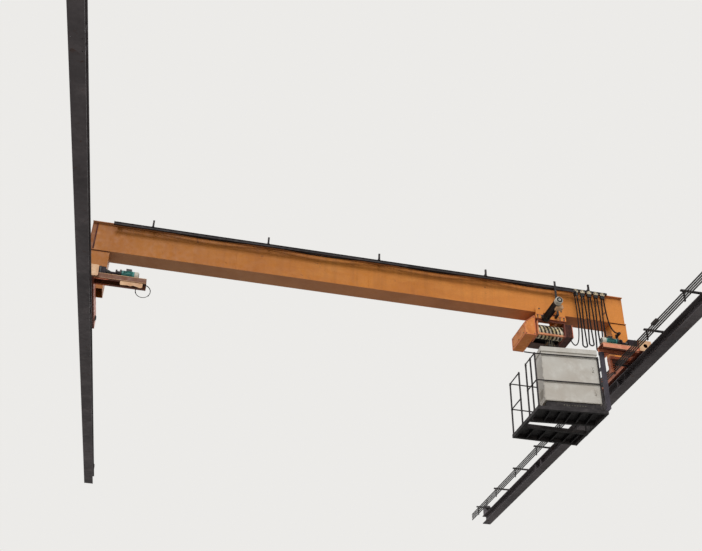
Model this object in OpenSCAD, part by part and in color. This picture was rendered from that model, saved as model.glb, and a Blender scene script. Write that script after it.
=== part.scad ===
// Overhead travelling bridge crane on a stretch of its runway.
// X runs along the bridge, Y along the runway, Z up, in millimetres.
// The origin is on the underside of the left runway beam, where the beam is seated under the resting bridge.

/* [Runway] */
// Distance between the two crane rails, centre to centre
span = 10000; // [8500:100:14000]
// Runway in front of the bridge's resting place
runway_near = 7300; // [6800:100:12000]
// Runway behind the bridge's resting place
runway_far = 8000; // [6000:100:12000]
// Height of the runway beams
beam_h = 200; // [180:10:300]
// Width of the runway beams' flanges
beam_w = 200; // [160:10:260]
// Thickness of the runway beams' flanges
beam_flange_t = 15; // [8:1:25]
// Thickness of the runway beams' web
beam_web_t = 10; // [6:1:20]
// Width of the square-bar rail
rail_w = 50; // [40:5:70]
// Height of the rail
rail_h = 40; // [30:5:60]
// Distance from the bridge's resting place to the seat in front
seat_near = 6330; // [4000:10:6500]
// Distance from the bridge's resting place to the seat behind
seat_far = 4220; // [3000:10:5500]
// Bolt spacing across the beam at a seat
seat_bolt_x = 130; // [90:5:150]
// Bolt spacing along the beam at a seat
seat_bolt_y = 200; // [120:10:300]
// Diameter of the seat bolt holes
seat_bolt_d = 18; // [14:1:24]
// Length of an end stop along the rail
stop_l = 150; // [80:10:300]
// Height of an end stop above the beam
stop_h = 240; // [150:10:300]

/* [Conductor bars] */
// Number of conductor bars
bar_count = 4; // [2:1:4]
// Height of a conductor bar
bar_h = 22; // [16:1:30]
// Thickness of a conductor bar
bar_t = 14; // [8:1:20]
// Vertical pitch of the conductor bars
bar_pitch = 46; // [38:1:50]
// Reach of the conductor arms inboard of the beam
arm_reach = 350; // [250:10:420]
// Thickness of the conductor arms
arm_t = 26; // [12:1:30]
// Pitch of the conductor arms along the runway
arm_pitch = 1300; // [800:50:2500]

/* [End trucks] */
// Length of an end truck along the runway
truck_l = 1800; // [1500:50:3000]
// Width of an end truck
truck_w = 240; // [200:10:320]
// Height of an end truck
truck_h = 220; // [200:10:320]
// Wall thickness of an end truck
truck_t = 8; // [5:1:14]
// Thickness of the plates that close an end truck
truck_plate_t = 12; // [8:1:25]
// Diameter of the hole in the closing plates
truck_hole_d = 84; // [40:2:120]
// Tread diameter of a travel wheel
wheel_d = 200; // [160:10:220]
// Depth of a travel wheel's flanges
wheel_flange = 18; // [10:1:19]
// Distance between the travel wheels of one truck
wheel_base = 1300; // [900:50:1350]

/* [Girder] */
// Height of the pedestals between end trucks and girder
pedestal_h = 774; // [600:2:1000]
// Length of a pedestal along the girder
pedestal_l = 320; // [240:10:400]
// Depth of a pedestal across the girder
pedestal_w = 320; // [200:10:340]
// Wall thickness of a pedestal
pedestal_t = 10; // [6:1:20]
// Height of the girder over both flanges
girder_h = 620; // [500:10:900]
// Width of the girder's flanges
girder_w = 360; // [340:10:440]
// Thickness of the girder's flanges
girder_flange_t = 12; // [8:1:20]
// Thickness of the girder's webs
girder_web_t = 8; // [6:1:14]
// Width of the flange lip outside each web
girder_lip = 50; // [48:1:70]
// Length of girder past the right rail, and of each pedestal past its rail
girder_overhang = 90; // [60:5:110]
// Length of girder past the left rail
girder_left_overhang = 160; // [90:5:200]

/* [Travel drives] */
// Length of the right drive shelf inboard of its truck
shelf_l = 700; // [660:10:800]
// Length of the left drive shelf inboard of its truck
left_shelf_l = 860; // [760:10:900]
// Distance from the right truck to its drive motor
drive_set = 350; // [300:10:360]
// Distance from the left truck to its drive motor
left_drive_set = 400; // [300:10:440]
// Height of the shelf's channels
shelf_h = 96; // [60:2:120]
// Depth of a shelf along the runway
shelf_w = 230; // [200:5:300]
// Distance from the truck's front end to the shelf
shelf_set = 40; // [20:5:100]
// Diameter of a drive motor
drive_d = 150; // [110:5:180]
// Length of a drive motor with its fan cowl
drive_l = 320; // [240:10:330]

/* [Festoon] */
// Distance of the festoon rail from the girder's flange
festoon_gap = 85; // [70:5:120]
// Height of the festoon rail
festoon_h = 60; // [50:2:80]
// Width of the festoon rail
festoon_w = 30; // [26:2:40]
// Pitch of the parked cable carriers
carrier_pitch = 138; // [134:2:150]
// Length of a cable carrier along the rail
carrier_l = 92; // [80:2:110]
// Hanging depth of the cable loops below their carriers
loop_drop = 1190; // [800:10:1250]
// Thickness of a loop's bundle of cables
loop_d = 30; // [16:2:34]

/* [Platform] */
// Distance from the right rail to the platform's left side
platform_set = 2440; // [2300:10:2600]
// Distance from the girder's centre to the front left corner of the deck
platform_front = 1430; // [1300:10:1600]
// Length of the platform along the girder
platform_l = 1190; // [1100:10:1400]
// Height of the platform's channels
deck_h = 60; // [40:5:100]
// Thickness of the deck plates
deck_t = 6; // [4:1:10]
// Height of the guard rails above the deck
guard_h = 1000; // [900:10:1200]
// Height of the guard rails' middle bar above the deck
guard_mid_h = 485; // [400:5:600]
// Diameter of the guard rail posts
guard_d = 30; // [24:2:40]
// Diameter of the guard rail bars
guard_bar_d = 22; // [16:2:22]
// Turn of the front deck and its cabinet from the girder's line
deck_skew = 6; // [0:0.5:8]
// Height of the hangers' knees above the deck
knee_h = 510; // [300:10:700]
// Width of the control cabinet
cabinet_w = 970; // [800:10:1000]
// Depth of the control cabinet
cabinet_d = 330; // [250:10:340]
// Height of the control cabinet's body
cabinet_h = 930; // [700:10:1000]
// Height of the cabinet's plinth
plinth_h = 130; // [80:5:200]
// Height of the cabinet's hood
hood_h = 85; // [60:5:200]

/* [Trolley and hoist] */
// Distance between the trolley's wheels
trolley_base = 450; // [400:10:500]
// Tread diameter of a trolley wheel
trolley_wheel_d = 100; // [80:5:120]
// Thickness of the trolley's side plates
side_t = 12; // [8:1:20]
// Length of the hoist frame between its end plates
hoist_l = 524; // [480:4:560]
// Width of the hoist frame
hoist_w = 380; // [360:5:390]
// Height of the hoist frame
hoist_h = 330; // [320:5:340]
// Reach of the hoist behind the drum's axis
hoist_back = 375; // [360:5:420]
// Place of the end box's far face
end_box_back = 490; // [400:5:520]
// Diameter of the hoist motor
hoist_motor_d = 180; // [140:5:190]
// Diameter of the drum's barrel
drum_d = 240; // [200:10:260]
// Diameter of the rope
rope_d = 14; // [8:1:16]
// Diameter of the trolley's travel motor
motor_d = 146; // [110:2:160]
// Length of the trolley's travel motor
motor_l = 700; // [500:10:760]
// Diameter of the hook block's sheave
sheave_d = 190; // [150:5:200]
// Thickness of the hook's shank
hook_t = 46; // [30:2:60]

/* [Hidden] */
$fn = 48;

// Clearance between moving pieces and what they rest against
seat = 0.3;
ORANGE = [0.80, 0.48, 0.18];
SALMON = [0.83, 0.52, 0.38];
STEEL = [0.20, 0.20, 0.22];
BLACK = [0.08, 0.08, 0.09];
PALE = [0.76, 0.76, 0.74];
CREAM = [0.86, 0.80, 0.68];
TEAL = [0.15, 0.45, 0.42];

// Levels
rail_top = beam_h + rail_h;
axle_z = rail_top + wheel_d / 2 + seat;
truck_z = rail_top + 20;
truck_top = truck_z + truck_h;
girder_z = truck_top + pedestal_h;
girder_top = girder_z + girder_h;
lip_z = girder_z + girder_flange_t;
web_y = girder_w / 2 - girder_lip;

// Places along the girder
right = span;
pedestal_x0 = -girder_overhang;
girder_x0 = -girder_left_overhang;
girder_x1 = span + girder_overhang;
shelf_y = -truck_l / 2 + shelf_set;
shelf_z = truck_z;
shelf_top = shelf_z + shelf_h;

// Conductor bars
bars_x = right - beam_w / 2 - arm_reach + 45;
arm_z = beam_h;
bars_top = arm_z - 14;
arm_first = -runway_near + 420;
feed_y = -2060;
arm_n = floor((runway_near + runway_far - 500) / arm_pitch) + 1;

// Festoon
festoon_y = -girder_w / 2 - festoon_gap - festoon_w / 2;
festoon_z = girder_top - 94;
festoon_x0 = 225;
festoon_x1 = right - 340;
festoon_t = 6;
carrier_x = right - 947;
carrier_z = festoon_z - 22;
saddle_z = carrier_z - 34;
loop_out = 24;

// Platform: the rear deck is square to the girder and the front deck is turned
deck_z = truck_top - 1930;
deck_top = deck_z + deck_h;
platform_x0 = right - platform_set;
platform_x1 = platform_x0 + platform_l;
rear_y0 = -710;
rear_y1 = -215;
front_y0 = -platform_front;
front_d = 520;
plate_inset = guard_d + 10;
cabinet_x = 112;
cabinet_y = 40;
cabinet_z = deck_top + plinth_h;
hanger_w = 80;
hanger_x = right - truck_w / 2 - shelf_l + 10;
hanger_tie_z = -110;

// Trolley and hoist, at rest at the right-hand end of their travel
hoist_x0 = right - 1760;
hoist_x1 = hoist_x0 + hoist_l + 32;
hoist_mid = (hoist_x0 + hoist_x1) / 2;
hoist_top = girder_z - 154;
hoist_z = hoist_top - hoist_h;
drum_z = hoist_z + hoist_h / 2;
winding_r = drum_d / 2 + rope_d;
side_y = girder_w / 2 + 20;
trolley_axle_z = lip_z + trolley_wheel_d / 2 + seat;
motor_x = hoist_x0 + 160;
motor_z = hoist_top + 10;
tow_x = hoist_x0 + 370;
tow_y = festoon_y - 60;

// Hook block
block_top = hoist_z - 60;
sheave_z = block_top - sheave_d / 2 - 20;
block_w = 120;
hook_z = sheave_z - sheave_d / 2 - 60;

// A box from its two corners
module block(a, b) {
    translate(a) cube(b - a);
}

// A bar of round section from one point to another
module bar(a, b, d) {
    v = b - a;
    l = norm(v);
    translate(a)
        rotate([0, acos(v[2] / l), atan2(v[1], v[0])])
            cylinder(d = d, h = l, $fn = 16);
}

// A channel of width w and height h along X, with its web on the y = 0 side
module channel_x(l, w, h, t) {
    difference() {
        cube([l, w, h]);
        translate([-1, t, t]) cube([l + 2, w, h - 2 * t]);
    }
}

// An I-section of height h and width w, drawn in a plane, with its foot on y = 0
module i_section(w, h, flange, web) {
    translate([-w / 2, 0]) square([w, flange]);
    translate([-w / 2, h - flange]) square([w, flange]);
    translate([-web / 2, flange / 2]) square([web, h - flange]);
}

// Whatever is drawn in the X and Z plane, run along Y from y0 to y1
module run_y(y0, y1) {
    translate([0, y1, 0]) rotate([90, 0, 0]) linear_extrude(y1 - y0) children();
}

// A copy in place and a copy mirrored about the middle of the span
module both_ends() {
    children();
    at_right() children();
}

// The front deck's own frame, turned about its left front corner
module front_place() {
    translate([platform_x0 + 38, front_y0, 0]) rotate([0, 0, -deck_skew]) children();
}

// A tube of radius r through a list of points, none of whose steps runs along Y
function unit(v) = v / norm(v);
function step_at(p, i) = unit(p[min(i + 1, len(p) - 1)] - p[max(i - 1, 0)]);
function ring_at(p, i, r, n) =
    let (t = step_at(p, i), u = unit(cross(t, [0, 1, 0])), v = cross(t, u))
    [for (k = [0 : n - 1]) p[i] + r * cos(360 * k / n) * u + r * sin(360 * k / n) * v];
module tube(p, r, n = 8) {
    m = len(p);
    pts = [for (i = [0 : m - 1]) each ring_at(p, i, r, n)];
    sides = [for (i = [0 : m - 2]) for (k = [0 : n - 1])
        [i * n + k, i * n + (k + 1) % n, (i + 1) * n + (k + 1) % n, (i + 1) * n + k]];
    ends = [[for (k = [n - 1 : -1 : 0]) k], [for (k = [0 : n - 1]) (m - 1) * n + k]];
    polyhedron(pts, concat(sides, ends));
}

// The points of a hanging loop from x0 to x1, both ends at height z and square to it, reaching down by drop
// and narrow at half height
function loop_points(x0, x1, y, z, drop) =
    let (r = (x1 - x0) / 2, xm = (x0 + x1) / 2, zs = z - 40, zb = z - drop + r)
    concat(
        [[x0, y, z]],
        [for (i = [0 : 8]) [xm - r * (1 - 0.4 * sin(180 * i / 9)), y, zs + (zb - zs) * i / 9]],
        [for (i = [0 : 8]) [xm - r * cos(180 * i / 8), y, zb - r * sin(180 * i / 8)]],
        [for (i = [8 : -1 : 0]) [xm + r * (1 - 0.4 * sin(180 * i / 9)), y, zs + (zb - zs) * i / 9]],
        [[x1, y, z]]
    );

// Runway
module runway_beam(x) {
    difference() {
        run_y(-runway_near, runway_far)
            translate([x, 0]) i_section(beam_w, beam_h, beam_flange_t, beam_web_t);
        for (y = [-seat_near, 0, seat_far], i = [-1, 1], j = [-1, 1])
            translate([x + i * seat_bolt_x / 2, y + j * seat_bolt_y / 2, -1])
                cylinder(d = seat_bolt_d, h = beam_flange_t + 2);
    }
}

module runway_beams() {
    color(STEEL)
        for (x = [0, right])
            runway_beam(x);
}

module crane_rails() {
    color("dimgray")
        both_ends()
            block([-rail_w / 2, -runway_near, beam_h], [rail_w / 2, runway_far, rail_top]);
}

module end_stops() {
    color(STEEL)
        both_ends()
            for (y = [-runway_near, runway_far - stop_l])
                difference() {
                    block([-70, y, beam_h], [70, y + stop_l, beam_h + stop_h]);
                    block([-rail_w / 2 - 1, y - 1, beam_h - 1], [rail_w / 2 + 1, y + stop_l + 1, rail_top + 1]);
                }
}

module conductor_arms() {
    color(STEEL)
        for (i = [0 : arm_n - 1]) {
            y = arm_first + i * arm_pitch;
            block([right - beam_w / 2 - arm_reach, y - 20, arm_z], [right - beam_w / 2 + 40, y + 20, arm_z + arm_t]);
            block([bars_x, y - 20, bars_top - bar_count * bar_pitch], [bars_x + 8, y + 20, arm_z]);
        }
}

module conductor_bars() {
    color(BLACK)
        for (i = [0 : bar_count - 1])
            block(
                [bars_x - bar_t, -runway_near + 100, bars_top - i * bar_pitch - bar_h],
                [bars_x, runway_far - 100, bars_top - i * bar_pitch]
            );
}

module feed_box() {
    color(BLACK)
        block(
            [bars_x - bar_t, feed_y, bars_top],
            [bars_x + 45, feed_y + 180, bars_top + 38]
        );
}

module current_collector() {
    x0 = bars_x - bar_t - 80;
    y0 = -truck_l / 2 + shelf_set + shelf_w + 160;
    color(SALMON)
        union() {
            block([x0, y0, truck_z + 10], [right - truck_w / 2, y0 + 140, truck_z + 66]);
            block([x0, y0 + 20, bars_top - bar_count * bar_pitch], [x0 + 36, y0 + 120, truck_z + 12]);
            for (i = [0 : bar_count - 1])
                block(
                    [x0 + 30, y0 + 30, bars_top - i * bar_pitch - bar_h / 2 - 8],
                    [bars_x - bar_t - seat, y0 + 110, bars_top - i * bar_pitch - bar_h / 2 + 8]
                );
        }
}

// End trucks
module end_truck(x) {
    difference() {
        block([x - truck_w / 2, -truck_l / 2 + truck_plate_t, truck_z],
            [x + truck_w / 2, truck_l / 2 - truck_plate_t, truck_top]);
        block([x - truck_w / 2 + truck_t, -truck_l / 2, truck_z + truck_t],
            [x + truck_w / 2 - truck_t, truck_l / 2, truck_top - truck_t]);
        for (i = [-1, 1])
            block([x - 60, i * wheel_base / 2 - wheel_d / 2 - 40, truck_z - 1],
                [x + 60, i * wheel_base / 2 + wheel_d / 2 + 40, truck_z + truck_t + 1]);
    }
}

module end_trucks() {
    color(SALMON)
        for (x = [0, right])
            end_truck(x);
}

module end_truck_plates() {
    color(SALMON)
        for (x = [0, right], i = [-1, 1])
            difference() {
                y = i < 0 ? -truck_l / 2 : truck_l / 2 - truck_plate_t;
                block([x - truck_w / 2, y, truck_z], [x + truck_w / 2, y + truck_plate_t, truck_top]);
                translate([x, y - 1, truck_z + truck_h / 2])
                    rotate([-90, 0, 0]) cylinder(d = truck_hole_d, h = truck_plate_t + 2);
            }
}

module travel_wheel() {
    tread = rail_w + 10;
    rotate([0, 90, 0]) {
        cylinder(d = wheel_d, h = tread, center = true);
        for (i = [-1, 1])
            translate([0, 0, i * (tread / 2 + 7)])
                cylinder(d = wheel_d + 2 * wheel_flange, h = 14, center = true);
        cylinder(d = 50, h = truck_w - 2 * truck_t, center = true);
    }
}

module travel_wheels() {
    color("gray")
        for (x = [0, right], i = [-1, 1])
            translate([x, i * wheel_base / 2, axle_z]) travel_wheel();
}

// Girder
module pedestal(x0) {
    difference() {
        block([x0, -pedestal_w / 2, truck_top], [x0 + pedestal_l, pedestal_w / 2, girder_z]);
        block([x0 + pedestal_t, -pedestal_w / 2 + pedestal_t, truck_top - 1],
            [x0 + pedestal_l - pedestal_t, pedestal_w / 2 - pedestal_t, girder_z + 1]);
    }
}

module pedestals() {
    color(ORANGE)
        both_ends()
            pedestal(pedestal_x0);
}

module girder_flanges() {
    color(ORANGE)
        for (z = [girder_z, girder_top - girder_flange_t])
            block([girder_x0, -girder_w / 2, z], [girder_x1, girder_w / 2, z + girder_flange_t]);
}

module girder_webs() {
    color(ORANGE)
        for (y = [-web_y, web_y - girder_web_t])
            block([girder_x0, y, lip_z], [girder_x1, y + girder_web_t, girder_top - girder_flange_t]);
}

module girder_end_plates() {
    color(ORANGE)
        for (x = [girder_x0, girder_x1 - 10])
            block([x, -web_y + girder_web_t, lip_z],
                [x + 10, web_y - girder_web_t, girder_top - girder_flange_t]);
}

// Travel drives
module drive_shelf(l) {
    translate([truck_w / 2, shelf_y, shelf_z])
        union() {
            channel_x(l, 50, shelf_h - 8, 6);
            translate([0, shelf_w, 0]) mirror([0, 1, 0]) channel_x(l, 50, shelf_h - 8, 6);
            translate([0, 0, shelf_h - 8]) cube([l, shelf_w, 8]);
        }
}

module drive_gearbox(motor_set) {
    block([truck_w / 2, shelf_y + 30, shelf_top], [truck_w / 2 + 170, shelf_y + 200, shelf_top + 150]);
    translate([truck_w / 2 + 170, shelf_y + shelf_w / 2, shelf_top + 90])
        rotate([0, 90, 0]) cylinder(d = 60, h = motor_set - 170);
    translate([truck_w / 2 + motor_set - 70, shelf_y + shelf_w / 2, shelf_top + 90])
        rotate([0, 90, 0]) cylinder(d = drive_d, h = 24);
}

module drive_motor(motor_set) {
    x0 = truck_w / 2 + motor_set;
    translate([x0, shelf_y + shelf_w / 2, shelf_top + 90])
        rotate([0, 90, 0]) {
            cylinder(d = drive_d + 20, h = 30);
            cylinder(d = drive_d, h = drive_l);
        }
    block([x0 + 60, shelf_y + shelf_w / 2 - 60, shelf_top],
        [x0 + drive_l - 80, shelf_y + shelf_w / 2 + 60, shelf_top + 40]);
}

// Whatever is drawn at the left end, mirrored to the right end
module at_right() {
    translate([span, 0, 0]) mirror([1, 0, 0]) children();
}

module drive_shelves() {
    color(SALMON) {
        drive_shelf(left_shelf_l);
        at_right() drive_shelf(shelf_l);
    }
}

module drive_gearboxes() {
    color(BLACK) {
        drive_gearbox(left_drive_set);
        at_right() drive_gearbox(drive_set);
    }
}

module drive_motors() {
    color(TEAL) {
        drive_motor(left_drive_set);
        at_right() drive_motor(drive_set);
    }
}

module drive_cable_ring() {
    ring_r = 122;
    cable_r = 14;
    color(BLACK)
        translate([truck_w / 2 + left_shelf_l - 30, shelf_y + 30, shelf_z - seat - ring_r - cable_r])
            rotate([90, 0, 0]) rotate_extrude() translate([ring_r, 0]) circle(r = cable_r, $fn = 12);
}

// Festoon
module festoon_rail() {
    color(BLACK)
        translate([festoon_x0, festoon_y, festoon_z])
            rotate([90, 0, 90]) linear_extrude(festoon_x1 - festoon_x0)
                i_section(festoon_w, festoon_h, festoon_t, festoon_t);
}

// The last cable's gland on the front of the right pedestal: height of its middle and half its thickness
gland_z = girder_z - 289;
gland_r = 20;

module festoon_brackets() {
    step = (span - 1568) / 4;
    top = festoon_z + festoon_h;
    color(BLACK) {
        for (i = [0 : 4]) {
            x = 905 + i * step;
            block([x - 16, festoon_y - 16, top], [x + 16, festoon_y + 16, girder_top + 112]);
            block([x - 16, festoon_y + 16, girder_top], [x + 16, -60, girder_top + 24]);
        }
        block([right - 160, festoon_y - gland_r, gland_z - gland_r],
            [right - 120, -pedestal_w / 2, gland_z + gland_r]);
    }
}

module cable_carrier(i) {
    x = carrier_x + (i - 1) * carrier_pitch;
    gap = festoon_w / 2 + 4;
    color(CREAM)
        translate([x, festoon_y, 0]) {
            for (s = [-1, 1]) {
                y = s < 0 ? -gap - 6 : gap;
                block([-carrier_l / 2, y, carrier_z], [carrier_l / 2, y + 6, festoon_z + 44]);
                for (k = [-1, 1])
                    translate([k * carrier_l / 4, s * (gap + 1), festoon_z + festoon_t + 12 + seat])
                        rotate([s * 90, 0, 0]) translate([0, 0, -12]) cylinder(d = 24, h = 12);
            }
            block([-carrier_l / 2, -gap - 6, carrier_z], [carrier_l / 2, gap + 6, carrier_z + 6]);
            block([-carrier_l / 2 + 4, -22, saddle_z - 26], [carrier_l / 2 - 4, 22, carrier_z]);
        }
}

module festoon_loop(i) {
    x = carrier_x + (i - 1) * carrier_pitch;
    drop = loop_drop - (i % 3) * 50;
    color(BLACK)
        tube(loop_points(x + loop_out, x + carrier_pitch - loop_out, festoon_y, saddle_z - 26, drop), loop_d / 2);
}

// The last length of cable, from the last carrier to the gland on the pedestal
end_route = [
    [-369, 0, 0], [-369, 0, -40], [-366, 0, -160], [-358, 0, -290], [-345, 0, -420], [-328, 0, -520], [-306, 0, -600],
    [-280, 0, -660], [-250, 0, -704], [-215, 0, -728], [-185, 0, -733], [-160, 0, -733]
];

module festoon_end_cable() {
    color(BLACK)
        tube([for (p = end_route) [right + p[0], festoon_y + p[1], saddle_z - 26 + p[2]]], loop_d / 2);
}

// Platform
module platform_frame() {
    color(STEEL)
        union() {
            block([platform_x0, front_y0, deck_z], [platform_x0 + 50, rear_y1, deck_top]);
            block([platform_x1 - 50, front_y0 - 110, deck_z], [platform_x1, rear_y1, deck_top]);
            for (y = [rear_y0, rear_y1 - 50])
                block([platform_x0, y, deck_z], [platform_x1, y + 50, deck_top]);
            front_place()
                for (y = [0, front_d - 50])
                    block([-10 - y * tan(deck_skew), y, deck_z],
                        [platform_l - 60 - y * tan(deck_skew), y + 50, deck_top]);
        }
}

module deck_plates() {
    color(BLACK) {
        front_place() block([0, plate_inset, deck_top], [platform_l - 90, front_d - 4, deck_top + deck_t]);
        block([platform_x0 + plate_inset, rear_y0 + 4, deck_top],
            [platform_x1 - plate_inset, rear_y1 - plate_inset, deck_top + deck_t]);
    }
}

// A guard rail panel through posts at the given points, with a top bar and a middle bar between neighbours
module guard_panel(posts, bars) {
    top = deck_top + guard_h;
    middle = deck_top + guard_mid_h;
    union() {
        for (p = posts)
            bar([p[0], p[1], deck_top], [p[0], p[1], top], guard_d);
        for (b = bars, z = [middle, top - guard_bar_d / 2 - 2])
            bar([b[0][0], b[0][1], z], [b[1][0], b[1][1], z], guard_bar_d);
    }
}

guard_x = platform_x0 + 22;
module near_guard_rail() {
    a = [guard_x, front_y0 + 18];
    way = [cos(deck_skew), -sin(deck_skew)];
    b = a + (platform_l - 90) * way;
    top = deck_top + guard_h - guard_bar_d / 2 - 2;
    color(BLACK) {
        guard_panel([b], [[a + (guard_d / 2 + 0.5) * way, b]]);
        bar([a[0] - 180, a[1], top], [a[0] - guard_d / 2 - 0.5, a[1], top], guard_bar_d);
    }
}

module left_guard_rail() {
    y = [front_y0 + 18, front_y0 + 219, front_y0 + 430, rear_y0 + 39, rear_y1 - 18];
    color(BLACK)
        guard_panel(
            [for (v = y) [guard_x, v]],
            [[[guard_x, y[0]], [guard_x, y[2]]], [[guard_x, y[3]], [guard_x, y[4]]]]
        );
}

module far_guard_rail() {
    y = rear_y1 - 18;
    x1 = platform_x1 - 22;
    y0 = rear_y0 + 18;
    color(BLACK)
        guard_panel(
            [[x1, y], [x1, y0]],
            [[[guard_x + guard_d / 2 + 0.5, y], [x1, y]], [[x1, y0], [x1, y]]]
        );
}

// One hanger: a channel from its top to the knee, and a bar that slants in from there to the deck's right side
module hanger(y, top) {
    knee_z = deck_top + knee_h;
    difference() {
        block([hanger_x, y, knee_z], [hanger_x + hanger_w, y + 50, top]);
        block([hanger_x + 7, y + 7, knee_z + 7], [hanger_x + hanger_w - 7, y + 51, top + 1]);
    }
    translate([0, y + 50, 0])
        rotate([90, 0, 0]) linear_extrude(50)
            polygon([
                [hanger_x, knee_z], [platform_x1, deck_z + hanger_w], [platform_x1, deck_z],
                [hanger_x + hanger_w, knee_z]
            ]);
}

module platform_hangers() {
    y = shelf_y + shelf_w - 50;
    color(STEEL)
        union() {
            hanger(y, shelf_z);
            hanger(rear_y1 - 50, hanger_tie_z);
            block([hanger_x, y, hanger_tie_z - 1], [hanger_x + 7, rear_y1, hanger_tie_z + 70]);
        }
}

module cabinet_plinth() {
    color(BLACK)
        front_place()
            block([cabinet_x + 30, cabinet_y + 20, deck_top + deck_t],
                [cabinet_x + cabinet_w - 30, cabinet_y + cabinet_d - 20, cabinet_z]);
}

module cabinet_body() {
    color(PALE)
        front_place()
            block([cabinet_x, cabinet_y + 16, cabinet_z],
                [cabinet_x + cabinet_w, cabinet_y + cabinet_d, cabinet_z + cabinet_h]);
}

module cabinet_doors() {
    split = cabinet_z + cabinet_h * 0.4;
    color(PALE)
        front_place() {
            block([cabinet_x, cabinet_y, cabinet_z], [cabinet_x + cabinet_w, cabinet_y + 16, split - 4]);
            block([cabinet_x, cabinet_y, split + 4], [cabinet_x + cabinet_w, cabinet_y + 16, cabinet_z + cabinet_h]);
        }
}

module cabinet_hood() {
    color(PALE)
        front_place()
            block([cabinet_x - 8, cabinet_y - 10, cabinet_z + cabinet_h],
                [cabinet_x + cabinet_w + 8, cabinet_y + cabinet_d + 10, cabinet_z + cabinet_h + hood_h]);
}

// Trolley
trolley_x = [hoist_x0 + 50, hoist_x0 + 50 + trolley_base];

module side_plate(y) {
    foot = hoist_top;
    ear = trolley_axle_z + 70;
    x0 = hoist_x0 - 35;
    x1 = hoist_x0 + trolley_base + 135;
    run_y(y, y + side_t)
        difference() {
            union() {
                translate([x0, foot]) square([x1 - x0, 90]);
                for (x = trolley_x)
                    translate([x - 75, foot]) square([150, ear - foot]);
            }
            for (x = trolley_x)
                translate([x, trolley_axle_z]) circle(d = 30.2);
        }
}

module trolley_side_plates() {
    color(ORANGE) {
        side_plate(-side_y - side_t);
        side_plate(side_y);
    }
}

module trolley_ties() {
    color(ORANGE)
        for (x = trolley_x)
            block([x - 40, -side_y, hoist_top], [x + 40, side_y, hoist_top + 80]);
}

module trolley_wheels() {
    tread = girder_lip - 14;
    mid = web_y + girder_lip / 2 + 1;
    color("gray")
        for (x = trolley_x, s = [-1, 1])
            translate([x, s * mid, trolley_axle_z])
                rotate([90, 0, 0]) {
                    cylinder(d = trolley_wheel_d, h = tread, center = true);
                    translate([0, 0, -s * (side_y + side_t + 8 - mid) / 2 ])
                        cylinder(d = 30, h = side_y + side_t + 8 - mid, center = true);
                }
}

module trolley_motor() {
    y1 = -side_y - side_t;
    color(BLACK)
        translate([motor_x, y1, motor_z])
            rotate([90, 0, 0]) {
                cylinder(d = motor_d + 14, h = 60);
                translate([0, 0, 60]) cylinder(d = motor_d - 10, h = motor_l - 160);
                translate([0, 0, motor_l - 100]) cylinder(d = motor_d, h = 100);
            }
}

module motor_terminal_box() {
    y1 = -side_y - side_t - motor_l + 120;
    color(CREAM)
        difference() {
            block([motor_x - 20, y1, motor_z - motor_d / 2 - 34], [motor_x + 110, y1 + 100, motor_z - 30]);
            translate([motor_x, y1 - 1, motor_z])
                rotate([-90, 0, 0]) cylinder(d = motor_d - 10 + 2 * seat, h = 102);
        }
}

// Hoist
module hoist_frame() {
    color(ORANGE)
        union() {
            for (x = [hoist_x0, hoist_x1 - 16])
                difference() {
                    block([x, -hoist_w / 2, hoist_z], [x + 16, hoist_back, hoist_top]);
                    translate([x - 1, 0, drum_z]) rotate([0, 90, 0]) cylinder(d = 60.4, h = 18);
                }
            for (y = [-hoist_w / 2, hoist_back - 34], z = [hoist_z, hoist_top - 34])
                block([hoist_x0 + 15, y, z], [hoist_x1 - 15, y + 34, z + 34]);
            block([hoist_x0 + 15, 160, hoist_z], [hoist_x1 - 15, hoist_back - 33, hoist_z + 6]);
        }
}

module hoist_drum() {
    color(CREAM)
        translate([hoist_x0 + 16, 0, drum_z])
            rotate([0, 90, 0]) {
                translate([0, 0, 6]) cylinder(d = drum_d, h = hoist_l - 12);
                translate([0, 0, 26]) cylinder(r = winding_r, h = hoist_l - 52);
                for (z = [6, hoist_l - 20])
                    translate([0, 0, z]) cylinder(r = winding_r + 10, h = 14);
                translate([0, 0, -16]) cylinder(d = 60, h = hoist_l + 32);
            }
}

module hoist_motor() {
    color(BLACK)
        translate([hoist_x0 + 16, hoist_back - hoist_motor_d / 2 - 20, drum_z])
            rotate([0, 90, 0]) {
                cylinder(d = hoist_motor_d, h = hoist_l);
                translate([0, 0, 40]) cylinder(d = hoist_motor_d + 20, h = 40);
            }
}

module hoist_gear_case() {
    color([0.45, 0.16, 0.12])
        block([hoist_x1, -hoist_w / 2 + 10, hoist_z + 10], [hoist_x1 + 154, hoist_back, hoist_top - 40]);
}

module hoist_end_box() {
    x0 = hoist_x0 - 255;
    x1 = hoist_x0 - 45;
    z0 = hoist_z - 34;
    z1 = hoist_top + 68;
    color(ORANGE) {
        run_y(-hoist_w / 2 + 10, end_box_back)
            polygon([[x0, z0], [x1, z0], [x1, z1], [x1 - 10, z1], [x0, z1 - 175]]);
        translate([x1, 0, drum_z]) rotate([0, 90, 0]) cylinder(d = 200, h = hoist_x0 - x1);
    }
}

module tow_arm() {
    foot = hoist_top + 40;
    color(BLACK)
        union() {
            block([tow_x - 20, tow_y, foot], [tow_x + 20, -side_y - side_t, foot + 40]);
            block([tow_x - 20, tow_y, foot], [tow_x + 20, tow_y + 10, girder_top + 40]);
            block([tow_x - 20, tow_y, carrier_z - 30], [carrier_x - carrier_l / 2 + 40, tow_y + 10, carrier_z + 10]);
            block([carrier_x - carrier_l / 2 + 10, tow_y, carrier_z - 20],
                [carrier_x - carrier_l / 2 + 40, festoon_y - festoon_w / 2 - 10 - seat, carrier_z]);
        }
}

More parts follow.
